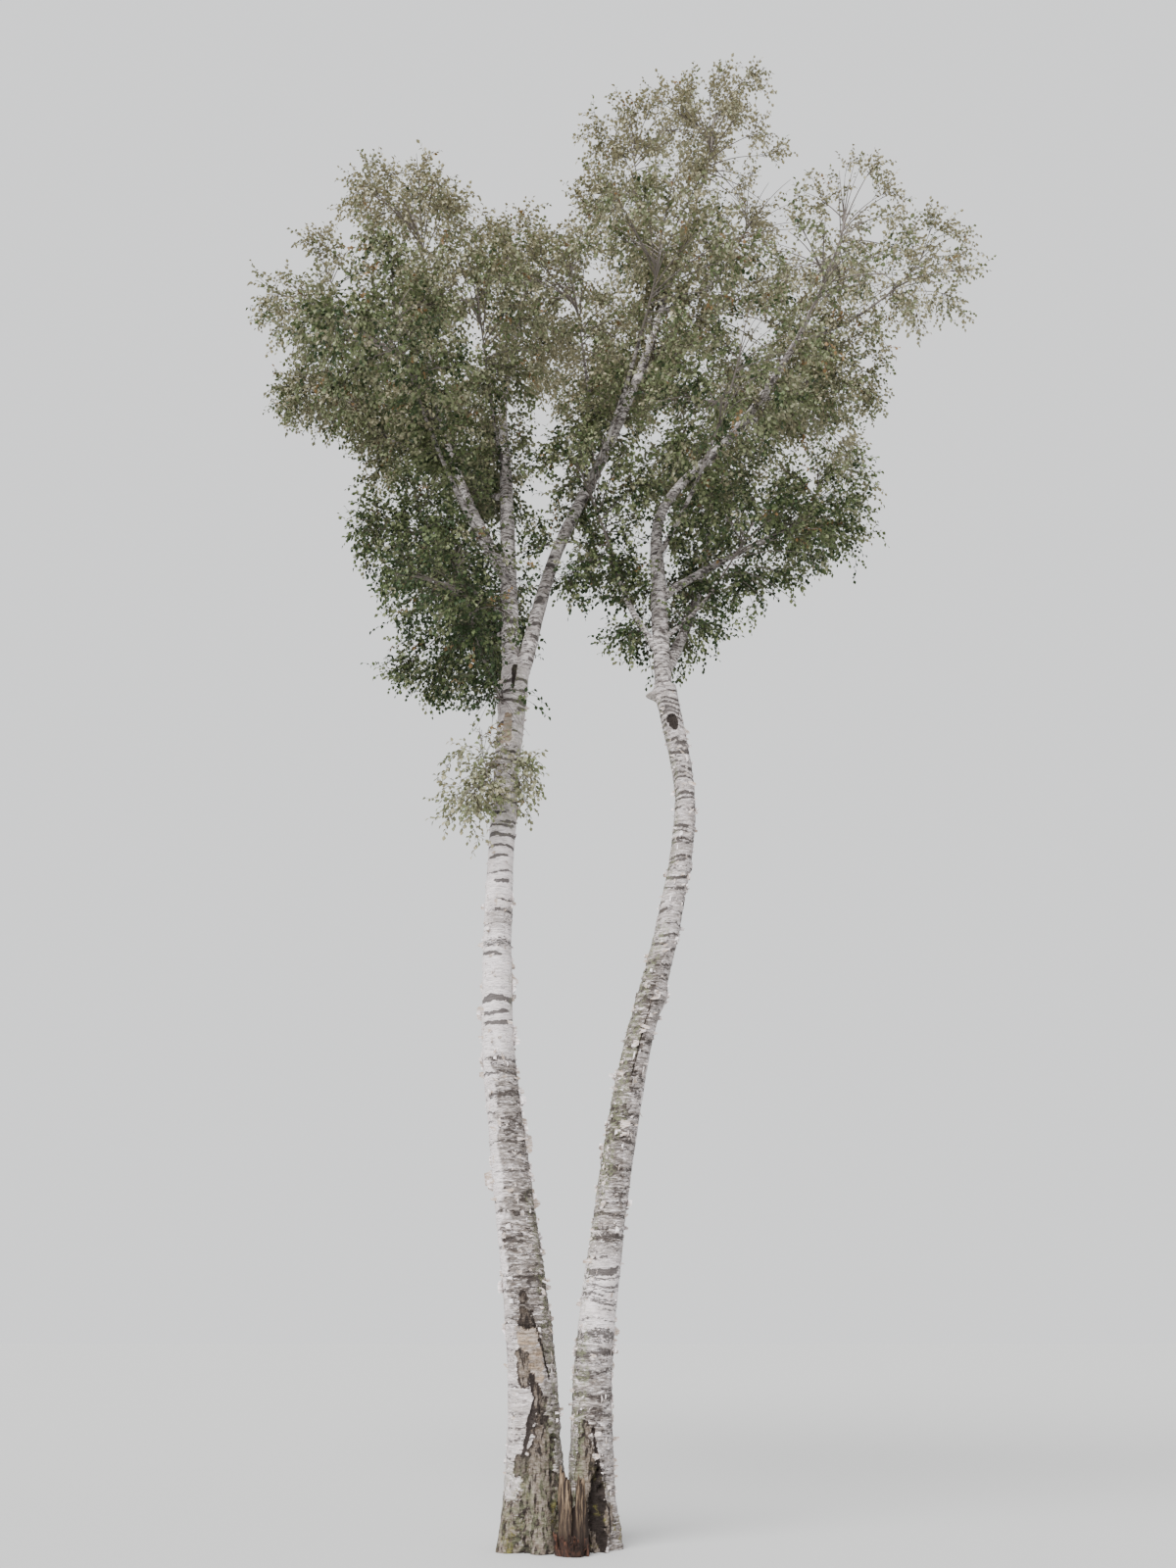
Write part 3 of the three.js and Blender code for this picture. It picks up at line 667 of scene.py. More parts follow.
class Finish:
    """A material built up from nodes, whose inputs are given by name or number."""

    def __init__(self, name, roughness):
        self.material = bpy.data.materials.new(name)
        self.material.use_nodes = True
        self.tree = self.material.node_tree
        self.shader = self.tree.nodes["Principled BSDF"]
        self.shader.inputs["Roughness"].default_value = roughness
        self.shader.inputs["Specular IOR Level"].default_value = GLOSS

    def put(self, socket, value):
        """Links or sets one input."""
        if isinstance(value, bpy.types.NodeSocket):
            self.tree.links.new(value, socket)
        else:
            socket.default_value = (*value, 1) if socket.type == "RGBA" else value

    def add(self, kind, inputs=(), output=0, **options):
        """One output of a new node with these inputs and options."""
        node = self.tree.nodes.new(kind)
        for option, value in options.items():
            setattr(node, option, value)
        for name, value in dict(inputs).items():
            self.put(node.inputs[name], value)
        return node.outputs[output]

    def noise(self, scale, detail, rough):
        """Noise in the tree's own frame, with cells of 1 / scale metres along each axis."""
        place = self.add("ShaderNodeTexCoord", output="Object")
        stretched = self.add("ShaderNodeMapping", {"Vector": place, "Scale": scale})
        inputs = {"Vector": stretched, "Scale": 1, "Detail": detail, "Roughness": rough}
        return self.add("ShaderNodeTexNoise", inputs, "Fac")

    def kept(self, name):
        """A number kept at the mesh's points."""
        return self.add("ShaderNodeAttribute", output="Fac", attribute_name=name)

    def ramp(self, value, low, high, start=0, end=1):
        """From start to end as the value goes from low to high."""
        inputs = {"Value": value, "From Min": low, "From Max": high, "To Min": start, "To Max": end}
        return self.add("ShaderNodeMapRange", inputs, interpolation_type="SMOOTHSTEP")

    def layer(self, row):
        """A layer of noise from its row in a table."""
        return self.ramp(self.noise(*row[:3]), *row[3:])

    def layers(self, rows):
        """Layers of noise by their names in a table."""
        return SimpleNamespace(**{name: self.layer(row) for name, row in rows.items()})

    def sum(self, operation, one, other):
        """Two numbers put together."""
        return self.add("ShaderNodeMath", {0: one, 1: other}, operation=operation)

    def times(self, one, other):
        """One number times another."""
        return self.sum("MULTIPLY", one, other)

    def blend(self, factor, one, other):
        """From one colour to the other by the factor."""
        return self.add("ShaderNodeMix", {0: factor, 6: one, 7: other}, 2, data_type="RGBA")

    def bump(self, height, distance, strength):
        """Fine relief from a height."""
        inputs = {"Height": height, "Distance": distance, "Strength": strength}
        self.put(self.shader.inputs["Normal"], self.add("ShaderNodeBump", inputs))

    def colour(self, value):
        """Sets the base colour."""
        self.put(self.shader.inputs["Base Color"], value)


def white_bark(bark):
    """White papery bark, marked, torn, lichened and mossy where the mesh says."""
    finish = Finish("white_bark", 0.62)
    rough, torn, depth = map(finish.kept, ("rough", "torn", "depth"))
    layer, grain = finish.layers(WHITE_LAYERS), finish.noise(*PLATE_GRAIN)
    worn, streak, fleck, dull = (
        finish.times(getattr(layer, name), finish.ramp(rough, low, 1, least, most))
        for name, (low, least, most) in ROUGH_LAYERS.items())
    marked = finish.ramp(finish.sum("ADD", finish.kept("dark"), layer.ragged), *MARK_EDGE)
    lines = finish.sum("MAXIMUM", marked, layer.dash)
    stained = finish.blend(worn, finish.blend(layer.soft, bark.white, bark.cream), bark.cream)
    dulled = finish.blend(streak, stained, bark.grey)
    speckled = finish.blend(fleck, dulled, finish.blend(0.5, bark.plate, bark.mark))
    patchy = finish.blend(dull, speckled, finish.blend(0.3, bark.grey, bark.mark))
    barked = finish.blend(lines, patchy, bark.mark)
    inner = finish.blend(layer.inner, finish.blend(layer.mottle, bark.tan, bark.cream), bark.plate)
    plate = finish.blend(layer.flaky, bark.plate, bark.cream)
    furrowed = finish.blend(finish.ramp(grain, *CRACK_EDGE), plate, bark.mark)
    bare = finish.blend(finish.ramp(depth, *BARE_EDGE), inner, furrowed)
    wound = finish.blend(finish.ramp(depth, *DEEP_EDGE), bare, bark.mark)
    barked = finish.blend(finish.ramp(finish.sum("ADD", torn, layer.ragged), *TORN_EDGE), barked, wound)
    lichened = finish.blend(finish.times(layer.blotch, finish.kept("lichen")), barked, bark.lichen)
    finish.colour(finish.blend(finish.times(layer.tuft, finish.kept("moss")), lichened, bark.moss))
    height = finish.sum("SUBTRACT", finish.times(layer.worn, 0.5), finish.sum("MAXIMUM", lines, fleck))
    finish.bump(finish.sum("ADD", height, finish.times(grain, torn)), *BARK_BUMP)
    finish.put(finish.shader.inputs["Roughness"], finish.ramp(rough, 0, 1, *BARK_ROUGHNESS))
    return finish.material


def upper_bark(bark):
    """Greyish white bark with dark level marks, which turns brown on thin boughs."""
    finish = Finish("upper_bark", 0.7)
    layer = finish.layers(UPPER_LAYERS)
    pale = finish.blend(layer.soft, bark.young, bark.grey)
    banded = finish.blend(finish.times(layer.streak, 0.75), pale, bark.grey)
    browned = finish.blend(finish.kept("thinness"), banded, bark.thin)
    marks = finish.sum("MAXIMUM", layer.dash, layer.patch)
    finish.colour(finish.blend(marks, browned, bark.mark))
    finish.bump(finish.sum("SUBTRACT", layer.streak, marks), *UPPER_BUMP)
    return finish.material


def curl_sides(bark):
    """The white outside and the tan inside of a curl of loose bark."""
    outside, inside = Finish("curl_outside", 0.6), Finish("curl_inside", 0.7)
    outside.colour(outside.blend(outside.layer(OUTSIDE_LAYER), bark.white, bark.cream))
    pale, tanned = inside.blend(0.4, bark.white, bark.cream), inside.blend(0.5, bark.cream, bark.tan)
    inside.colour(inside.blend(inside.layer(INSIDE_LAYER), pale, tanned))
    return [outside.material, inside.material]


def rotten_wood(stump):
    """Splintered tan wood with an upright grain, darker where it is rotten and towards the splinters' feet,
    and redder where it broke.
    """
    finish = Finish("rotten_wood", 0.85)
    grain = finish.noise(*WOOD_GRAIN)
    sound = finish.blend(finish.kept("broken"), stump.heart, stump.ember)
    wood = finish.blend(finish.ramp(grain, *WOOD_EDGE), stump.rot, sound)
    finish.colour(finish.blend(finish.kept("rotten"), wood, stump.rot))
    finish.bump(grain, *WOOD_BUMP)
    return finish.material


def plain(name, tint, roughness):
    """One colour all over, for small things whose colour is dealt out piece by piece."""
    finish = Finish(name, roughness)
    finish.colour(tint)
    return finish.material


# Stems

STEM_SIDES = 120
RING_SPACING = 0.011
RING_CROWDING = 1.12
LUMP = 0.014
LEVEL_RIDGE = 0.006
PLATE_RIDGE = 0.018
MARK_SUNK = 0.004
FURROW = 0.032
LIP = 0.009
LEAST_RELIEF = 1e-3
STEM_SEEDS = {"west_stem": 484, "east_stem": 427}
# Noise on a stem: cells round it, the height of a cell, what its seed adds and how many layers it has
SKIN_LAYERS = {
    "lumps": (6, 0.4, 10, 3),
    "level": (3, 0.04, 20, 3),
    "patch": (13, 0.02, 30, 3),
    "coarse": (7, 0.09, 35, 2),
    "fissures": (16, 0.26, 40, 3),
    "foot_fissures": (11, 0.3, 50, 3),
    "moss": (9, 0.14, 60, 3),
    "old": (8, 0.2, 70, 3),
}
LICHEN_SEED = 5
ARC_SEED = 80
# Heights between which the furrowed foot and the moss fade out
FOOT_FADE = (0.6, 0.15)
MOSS_FADE = (0.7, 0.05)
# The two values between which dark patches, cracks, old bark and moss come in, and how dark they are
PATCH_MIX = (0.6, 0.4)
PATCH_EDGE = (0.53, 0.63)
PATCH_DARK = 0.8
FISSURE_EDGE = (0.55, 0.3)
FISSURE_DARK = 0.6
OLD_EDGE = (0.62, 0.42)
OLD_DARK = 0.45
MOSS_EDGE = (0.46, 0.64)
FOOT_ROUGH = 0.8
# How dark a wound is where furrows and cracks come in, and the crests that stay level with the bark
FURROWED = (0.3, 0.6)
CRACKED = (0.3, 0.5)
WOUND_CREST = 0.6
FOOT_CREST = 0.62
# Where each thing fades in a wound, from its middle at 0 to its edge at 1
WOUND_EDGE = (0.82, 1.04)
WOUND_SLOPE = (0.6, 1.02)
# The dark band inside a wound's edge is its cracks with painted shade under the lifted lip: where it fades
# in, and the wound darkness between which it comes in
CRACK_SHADE_EDGE = (0.55, 0.85)
CRACK_SHADE_DARK = (0.2, 0.45)
LIP_START = (0.9, 1.05)
LIP_END = (1.1, 1.4)
WOUND_SQUARE = 3
WOUND_WIDTHS = (0.15, 2)
SMALL_WOUND = 0.03
SMALL_REACH = 0.25
THIN_WOUND = 0.02
WOUND_RAG = 0.8
WOUND_CELLS = (26, 0.045, 11)
ARC_SPREAD = (75, 180)
ARC_THICK = (0.6, 1.3)
ARC_WAVE = 0.012
ARC_WAVES = (2, 9)
ARC_DRIFT = 0.03
DRIFT_CELLS = (7, 0.3)
ARC_BREAK_CELLS = (16, 0.04)
ARC_BREAKS = (0.35, 1.3)
ARC_EDGE = (0.6, 1.15)
ARC_ENDS = (0.7, 1.05)


def wound_marks(name, turn, height, radius):
    """How far the white bark has gone, how dark and how deep it is there and how far the lip rises. The
    darkness has a band inside each dark wound's edge: cracks, with painted shade under the lip.
    """
    torn, dark, sunk, lip = (np.zeros_like(turn) for _ in range(4))
    ragged = WOUND_RAG * (skin_noise(turn, height, *WOUND_CELLS) - 0.5)
    for wound in WOUNDS[name]:
        upright = (height - wound.height) / wound.tall
        wide = wound.wide * np.clip(1 - wound.taper * upright, *WOUND_WIDTHS)
        sideways = turn_between(turn, wound.turn + wound.lean * np.clip(upright, -1, 1)) * radius / wide
        reach = 1 + SMALL_REACH * min(SMALL_WOUND / wound.wide, 1)
        distance = (np.abs(sideways) ** WOUND_SQUARE + np.abs(upright) ** WOUND_SQUARE) ** (1 / WOUND_SQUARE)
        distance = distance / reach + ragged
        inside = 1 - ease(distance, *WOUND_EDGE)
        # Painted shade under the lip, with the cracked edge: a dark band round the inside of each darker
        # wound
        crack_and_shade_border = inside * ease(distance, *CRACK_SHADE_EDGE) * ease(np.full_like(turn, wound.dark), *CRACK_SHADE_DARK)
        rim = ease(distance, *LIP_START) * (1 - ease(distance, *LIP_END))
        stronger = inside > torn
        dark = np.where(stronger, np.maximum(wound.dark, crack_and_shade_border), dark)
        torn = np.maximum(torn, inside)
        sunk = np.maximum(sunk, wound.depth * (1 - ease(distance, *WOUND_SLOPE)))
        lip = np.maximum(lip, LIP * rim * min(wound.wide / THIN_WOUND, 1))
    return torn, dark, sunk, lip


def level_arcs(name, turn, height, seed):
    """How dark the thin level arcs make each point."""
    random = np.random.default_rng(seed)
    arcs = list(ARCS[name])
    for run in RUNS[name]:
        for middle in np.linspace(run.low, run.high, run.count):
            thick = run.thick * random.uniform(*ARC_THICK)
            arcs.append(Arc(middle + random.normal(0, run.thick), random.uniform(-180, 180),
                            random.uniform(*ARC_SPREAD), thick, run.strength))
    drift = ARC_DRIFT * (skin_noise(turn, height, *DRIFT_CELLS, seed + 1) - 0.5)
    wave = ARC_WAVE * np.sin(ARC_WAVES[0] * turn + ARC_WAVES[1] * height) + drift
    broken = skin_noise(turn, height, *ARC_BREAK_CELLS, seed + 3, 2)
    dark = np.zeros_like(turn)
    for arc in arcs:
        offset = np.abs(height + wave - arc.height) / (arc.thick * (ARC_BREAKS[0] + ARC_BREAKS[1] * broken))
        aside = np.abs(turn_between(turn, arc.turn)) / math.radians(arc.spread)
        shown = arc.strength * (1 - ease(offset, *ARC_EDGE)) * (1 - ease(aside, *ARC_ENDS))
        dark = np.maximum(dark, shown)
    return dark


def stem_relief(row, strength):
    """The relief and the marks of a stem's bark."""
    seed = STEM_SEEDS[row.name]
    strength = max(strength, LEAST_RELIEF)

    def relief_of(turn, shares, radius):
        height = shares * row.height
        noise = SimpleNamespace(**{
            name: skin_noise(turn, height, around, step, seed + shift, layers)
            for name, (around, step, shift, layers) in SKIN_LAYERS.items()})
        rough = zone_strength(ROUGH_ZONES[row.name], turn, height, seed)
        lichen = zone_strength(LICHEN_ZONES[row.name], turn, height, seed + LICHEN_SEED)
        torn, depth, sunk, lip = wound_marks(row.name, turn, height, radius)
        patchy = PATCH_MIX[0] * noise.patch + PATCH_MIX[1] * noise.coarse
        patches = PATCH_DARK * rough * ease(patchy, *PATCH_EDGE)
        dark = np.maximum(patches, level_arcs(row.name, turn, height, seed + ARC_SEED)) * (1 - torn)
        fissures, foot_fissures = ridges(noise.fissures), ridges(noise.foot_fissures)
        foot = ease(height, *FOOT_FADE)
        knots = sum(
            knot.out * np.exp(-(turn_between(turn, knot.turn) * radius / knot.radius) ** 2
                              - ((height - knot.height) / knot.radius) ** 2)
            for knot in KNOTS[row.name])
        relief = (LUMP * (noise.lumps - 0.5) + LEVEL_RIDGE * (noise.level - 0.5)
                  + PLATE_RIDGE * rough * (0.5 - noise.patch) * (1 - torn)
                  + FURROW * torn * ease(depth, *FURROWED) * (fissures - WOUND_CREST)
                  + FURROW * foot * (foot_fissures - FOOT_CREST)
                  + lip - sunk - MARK_SUNK * dark + knots / strength)
        cracks = FISSURE_DARK * ease(fissures, *FISSURE_EDGE) * ease(depth, *CRACKED)
        foot_depth = OLD_DARK + FISSURE_DARK * ease(foot_fissures, *FISSURE_EDGE)
        old = foot * ease(noise.old, *OLD_EDGE)
        marks = {
            "rough": np.maximum(rough, FOOT_ROUGH * foot), "dark": dark, "lichen": lichen,
            "torn": np.maximum(torn, old), "depth": np.where(torn > old, depth + cracks, foot_depth),
            "moss": ease(height, *MOSS_FADE) * ease(noise.moss, *MOSS_EDGE),
        }
        return relief * strength, marks

    return relief_of


class BIRCH_OT_stems(bpy.types.Operator):
    """Make both stems with the relief of their white bark"""

    bl_idname = "birch.stems"
    bl_label = "Stems"
    bl_options = {"REGISTER", "UNDO"}

    def execute(self, context):
        bark = context.scene.birch_bark
        limbs = all_limbs()
        finish = white_bark(bark)
        for row in STEMS:
            rungs = np.linspace(0, 1, int(row.height / RING_SPACING)) ** RING_CROWDING
            mesh = limb_mesh(limbs[row.name], rungs, STEM_SIDES, stem_relief(row, bark.relief))
            add_piece(mesh, [row.name], [finish])
        return {"FINISHED"}


# Curls of loose bark

CURL_STEPS = 9
CURL_THICKNESS = 0.0012
CURL_ROOT = 0.002
CURL_SHORTEST = 0.2
CURL_FEW_LONG = 2.5
CURL_TILT = 0.35
CURL_RAG = (0.82, 1.1)
CURL_ENDS = (0.15, 0.1)
# How many curls are kept, and how large they are, on smooth bark and what rough bark adds
CURL_KEPT = (0.36, 0.3)
CURL_SIZE = (0.9, 0.35)
BARE_WOUND = 0.2
CURL_BEND = (0.3, 1.5)
CURL_ROLL = 3.2
ROLLED_SHARE = 0.2
CURL_ASPECT = (0.3, 0.9)
CURL_TAPER = (0.25, 0.9)
SHEET_SHARE = 0.16
SHEET_TALL = (0.4, 1.3)
SHEET_REACH = 0.6
CURL_SEED = 31
# Places where large curls stand out from the stems' edges, each with a height, a turn in degrees and a size
LARGE_CURLS = {
    "west_stem": (
        (5.24, 0, 0.8), (5.2, 180, 0.7), (4.67, 0, 0.8), (4.48, -8, 1), (4.38, 4, 1.1), (4.28, -4, 1),
        (4.39, 180, 0.7), (4.18, 178, 1.2), (4.05, -2, 0.9), (3.97, 2, 1), (3.76, 182, 0.8), (3.63, 178, 0.9),
        (3.61, -3, 0.8), (3.42, 0, 1.1), (3.3, -5, 0.8), (3.16, 2, 1.1), (2.99, -4, 1.2), (2.86, 3, 0.8),
        (2.73, 0, 1.2), (2.68, 180, 1.3), (2.57, -3, 1.1), (2.35, 3, 0.8), (2.11, 0, 0.9), (1.84, 180, 0.8),
        (1.57, 178, 0.7), (1.7, -2, 0.7),
    ),
    "east_stem": (
        (4.3, 2, 0.9), (3.6, 178, 0.7), (3.16, 180, 0.9), (2.9, 182, 0.9), (2.62, 178, 0.7), (1.72, 180, 0.7),
        (1.62, 0, 0.8), (1.48, 2, 0.9), (1.38, -2, 0.9), (1.38, 180, 0.8), (1.21, 0, 0.7), (1.22, 181, 0.7),
        (0.98, 0, 0.7),
    ),
}
LARGE_SHARE = 0.55
LARGE_BEND = 0.9
LARGE_TALL = 0.9
LARGE_PLACES = 3
LARGE_SPREAD = (0.03, 0.12)


def curl_points(limb, turn, height, skin, size, large, random, bark):
    """Points of curls that leave the bark along a level line and roll outward, each with two sides."""
    count = len(turn)
    share = height / limb.reach
    outward = circle(*cross_axes(limb, share), turn)
    sideways = np.cross(UP, outward) * random.choice([-1, 1], count)[:, None]
    root = limb.curve(share) + outward * (skin - CURL_ROOT)[:, None]
    long = np.maximum(random.random(count) ** CURL_FEW_LONG, LARGE_SHARE * large)
    reach = bark.curl_length * (CURL_SHORTEST + (1 - CURL_SHORTEST) * long) * size
    tall = reach * random.uniform(*CURL_ASPECT, count) * (1 + LARGE_TALL * large)
    sheet = random.random(count) < SHEET_SHARE
    tall = np.where(sheet, bark.curl_length * random.uniform(*SHEET_TALL, count), tall)[:, None]
    reach = np.where(sheet, SHEET_REACH * reach, reach)[:, None]
    bend = random.uniform(*CURL_BEND, count) + CURL_ROLL * (random.random(count) < ROLLED_SHARE)
    bend = (bend + LARGE_BEND * large)[:, None]
    tilt = random.normal(0, CURL_TILT, count)[:, None]
    steps = np.linspace(0, 1, CURL_STEPS)
    angle = bend * steps
    along, out = np.sin(angle) / bend, (1 - np.cos(angle)) / bend
    tongue = 1 - random.uniform(*CURL_TAPER, count)[:, None] * steps**1.4
    rag = tongue[..., None] * random.uniform(*CURL_RAG, (count, CURL_STEPS, 2))
    middle = (root[:, None] + sideways[:, None] * (along * reach)[..., None]
              + outward[:, None] * (out * reach)[..., None])
    upward = heading_along(limb.curve, share)[:, None]
    thickness = circle(outward[:, None], -sideways[:, None], angle) * CURL_THICKNESS
    edges = [middle + upward * (sign * rag[..., edge] * tall + tilt * along * reach)[..., None]
             for edge, sign in enumerate((-0.5, 0.5))]
    return np.stack([np.stack([edge, edge + thickness], axis=2) for edge in edges], axis=2)


def curl_faces(count):
    """Faces of closed curls, and which of the two materials each has."""
    index = np.arange(CURL_STEPS * 4).reshape(CURL_STEPS, 2, 2)
    one, other = index[:-1], index[1:]
    inner = np.stack([one[:, 0, 1], other[:, 0, 1], other[:, 1, 1], one[:, 1, 1]], axis=1)
    outer = np.stack([one[:, 0, 0], one[:, 1, 0], other[:, 1, 0], other[:, 0, 0]], axis=1)
    low = np.stack([one[:, 0, 0], other[:, 0, 0], other[:, 0, 1], one[:, 0, 1]], axis=1)
    high = np.stack([one[:, 1, 0], one[:, 1, 1], other[:, 1, 1], other[:, 1, 0]], axis=1)
    ends = np.array([index[0].ravel()[[0, 1, 3, 2]], index[-1].ravel()[[0, 2, 3, 1]]])
    faces = np.concatenate([inner, outer, low, high, ends])
    sides = np.concatenate([np.ones(len(inner)), np.zeros(len(faces) - len(inner))])
    return repeated(faces, count, CURL_STEPS * 4), np.tile(sides, count)


class BIRCH_OT_curls(bpy.types.Operator):
    """Make the curls of loose bark on both stems"""

    bl_idname = "birch.curls"
    bl_label = "Curls of bark"
    bl_options = {"REGISTER", "UNDO"}

    def execute(self, context):
        bark = context.scene.birch_bark
        limbs = all_limbs()
        finishes = curl_sides(bark)
        for number, row in enumerate(STEMS):
            random = np.random.default_rng(CURL_SEED + number)
            limb = limbs[row.name]
            tries = int(bark.curls * row.height)
            spots = np.repeat(LARGE_CURLS[row.name], LARGE_PLACES, axis=0)
            height = random.uniform(CURL_ENDS[0], row.height - CURL_ENDS[1], tries)
            turn = random.uniform(0, FULL_TURN, tries)
            height = np.append(height, random.normal(spots[:, 0], LARGE_SPREAD[0]))
            turn = np.append(turn, random.normal(np.radians(spots[:, 1]), LARGE_SPREAD[1]))
            large = np.arange(len(height)) >= tries
            radius = limb_radius(limb, height / row.height, turn)
            relief, marks = stem_relief(row, bark.relief)(turn, height / row.height, radius)
            rough = marks["rough"]
            kept = large | (random.random(len(height)) < CURL_KEPT[0] + CURL_KEPT[1] * rough)
            kept &= marks["torn"] < BARE_WOUND
            size = np.append(CURL_SIZE[0] + CURL_SIZE[1] * rough[:tries], spots[:, 2])
            rows = (field[kept] for field in (turn, height, radius + relief, size, large))
            points = curl_points(limb, *rows, random, bark)
            faces, sides = curl_faces(len(points))
            mesh = new_mesh(f"{row.name}_curls", points, faces)
            set_smooth(mesh, False)
            add_piece(mesh, [], finishes, sides)
        return {"FINISHED"}


# Leaders and boughs

BOUGH_RING_SPACING = 0.03
BOUGH_LEAST_RINGS = 12
# Sides of a thin and of a thick bough
BOUGH_SIDES = (14, 24)
THICK_BOUGH = 0.06
BOUGH_LUMP = 0.1
LUMP_SHARE = 1.6
LUMP_CELLS = (3, 0.22)
LEVEL_CELLS = (3, 0.05)
LEVEL_SEED = 9
THIN_RADIUS = (0.03, 0.01)


def bough_relief(limb, seed, strength):
    """The relief of a bough's bark, and how thin the bough is."""

    def relief_of(turn, shares, radius):
        distance = shares * limb.reach
        lumps = skin_noise(turn, distance, *LUMP_CELLS, seed) - 0.5
        level = skin_noise(turn, distance, *LEVEL_CELLS, seed + LEVEL_SEED) - 0.5
        relief = radius * BOUGH_LUMP * (LUMP_SHARE * lumps + level) * strength
        return relief, {"thinness": ease(radius, *THIN_RADIUS)}

    return relief_of


class BIRCH_OT_boughs(bpy.types.Operator):
    """Make the leaders and boughs with the relief of their bark"""

    bl_idname = "birch.boughs"
    bl_label = "Leaders and boughs"
    bl_options = {"REGISTER", "UNDO"}

    def execute(self, context):
        bark = context.scene.birch_bark
        finish = upper_bark(bark)
        uppers = [limb for limb in all_limbs().values() if not limb.level]
        for number, limb in enumerate(uppers):
            share = np.linspace(0, 1, max(int(limb.reach / BOUGH_RING_SPACING), BOUGH_LEAST_RINGS))
            sides = BOUGH_SIDES[limb.radius[0] > THICK_BOUGH]
            mesh = limb_mesh(limb, share, sides, bough_relief(limb, number, bark.relief))
            add_piece(mesh, [limb.name], [finish])
        return {"FINISHED"}


# Old stump

# A slab is an upright piece of the stump's rim: its half width, half thickness, lean, how rotten it is and
# how far its foot stands out
Slab = namedtuple("Slab", "turn height wide thick lean rotten out", defaults=(0,))
STUMP_MIDDLE = np.array([0.305, -0.255, 0])
STUMP_RADIUS = 0.108
STUMP_CORE = 0.12
CORE_SIDES = 40
CORE_CELLS = (8, 10)
CORE_GIRTH = (0.94, 0.4)
CORE_RIM = 0.05
CORE_NARROW = 0.9
CORE_DIP = 0.6
STUMP_SEED = 7
STUMP_SLABS = (
    Slab(-131, 0.6, 0.062, 0.022, 0.02, 0.05),
    Slab(-146, 0.46, 0.024, 0.016, 0.05, 0.35),
    Slab(-104, 0.46, 0.014, 0.01, 0.12, 0.6),
    Slab(-96, 0.36, 0.035, 0.014, 0.16, 0.85),
    Slab(-74, 0.28, 0.03, 0.014, 0.18, 0.95),
    Slab(-55, 0.58, 0.044, 0.018, 0.03, 0.1),
    Slab(-68, 0.5, 0.013, 0.01, 0.08, 0.4),
    Slab(-36, 0.4, 0.024, 0.016, 0.04, 0.6),
    Slab(-165, 0.42, 0.035, 0.016, 0.08, 0.6),
    Slab(-15, 0.36, 0.03, 0.016, 0.08, 0.7),
)
# The least and most height, half width, half thickness and lean of low splinters and of broken chunks
LOW_SPLINTER = ((0.15, 0.42), (0.018, 0.032), (0.01, 0.018), (0, 0.15))
CHUNK = ((0.04, 0.17), (0.008, 0.03), (0.006, 0.02), (-0.7, 0.3))
# How rotten each can be, and how far round the stump they stand
SPLINTER_ROT = (0.7, 0.85, 1)
CHUNK_ROT = (0, 0.3, 0.7)
BACK_TURNS = (-10, 190)
BACK_STAGGER = 0.3
CHUNK_TURNS = (-165, -15)
CHUNK_OUT = (-0.015, 0.04)
# How dark the foot of a splinter is, and the heights between which that fades
FOOT_DARK = 0.8
FOOT_DARK_FADE = (0.36, 0.1)
SPLINTER_RINGS = 30
SPLINTER_SIDES = 26
SPLINTER_FIBRES = 0.5
FIBRE_CELLS = (11, 0.3)
SPLINTER_SWAY = 0.22
SWAY_SHARES = (0, 0.35, 0.7, 1)
SPLINTER_NOTCH = 0.34
NOTCH_CELLS = 7
NOTCH_SEED = 5
SPLINTER_SLANT = 0.1
SPLINTER_SQUARE = 0.6
SPLINTER_TAPER = 0.34


def splinter_points(slab, random):
    """Rings of one upright splinter of the stump's rim, with fibres along it and a ragged top."""
    turn = math.radians(slab.turn)
    share = np.linspace(0, 1, SPLINTER_RINGS)[:, None]
    side = np.linspace(0, FULL_TURN, SPLINTER_SIDES, endpoint=False)[None]
    flat, deep = (np.sign(wave) * np.abs(wave) ** SPLINTER_SQUARE for wave in (np.cos(side), np.sin(side)))
    seed = random.integers(999)
    fibres = skin_noise(side, share * slab.height, *FIBRE_CELLS, seed)
    girth = (1 - SPLINTER_TAPER * share**3) * (1 + SPLINTER_FIBRES * (fibres - 0.5))
    slant = random.uniform(-SPLINTER_SLANT, SPLINTER_SLANT)
    top = share**6 * (SPLINTER_NOTCH * rim_noise(side, NOTCH_CELLS, seed + NOTCH_SEED) + slant * flat)
    sway = np.interp(share, SWAY_SHARES, [0, *random.uniform(-SPLINTER_SWAY, SPLINTER_SWAY, 3)])
    across = (flat * girth + sway) * slab.wide
    outward = STUMP_RADIUS + slab.out - slab.lean * share * slab.height + deep * slab.thick * girth
    rise = share * slab.height * (1 - top)
    tangent = np.array([-math.sin(turn), math.cos(turn), 0])
    radial = np.array([math.cos(turn), math.sin(turn), 0])
    return STUMP_MIDDLE + across[..., None] * tangent + outward[..., None] * radial + rise[..., None] * UP


def stump_slabs(stump, random):
    """The tall slabs in front, the low splinters round the back and the broken chunks at the foot."""
    slabs = list(STUMP_SLABS)
    for index in range(stump.splinters):
        place = index + random.uniform(-BACK_STAGGER, BACK_STAGGER)
        turn = BACK_TURNS[0] + BACK_TURNS[1] * place / stump.splinters
        shape = [random.uniform(*span) for span in LOW_SPLINTER]
        slabs.append(Slab(turn, *shape, random.choice(SPLINTER_ROT)))
    for _ in range(stump.chunks):
        shape = [random.uniform(*span) for span in (CHUNK_TURNS, *CHUNK)]
        slabs.append(Slab(*shape, random.choice(CHUNK_ROT), random.uniform(*CHUNK_OUT)))
    return slabs


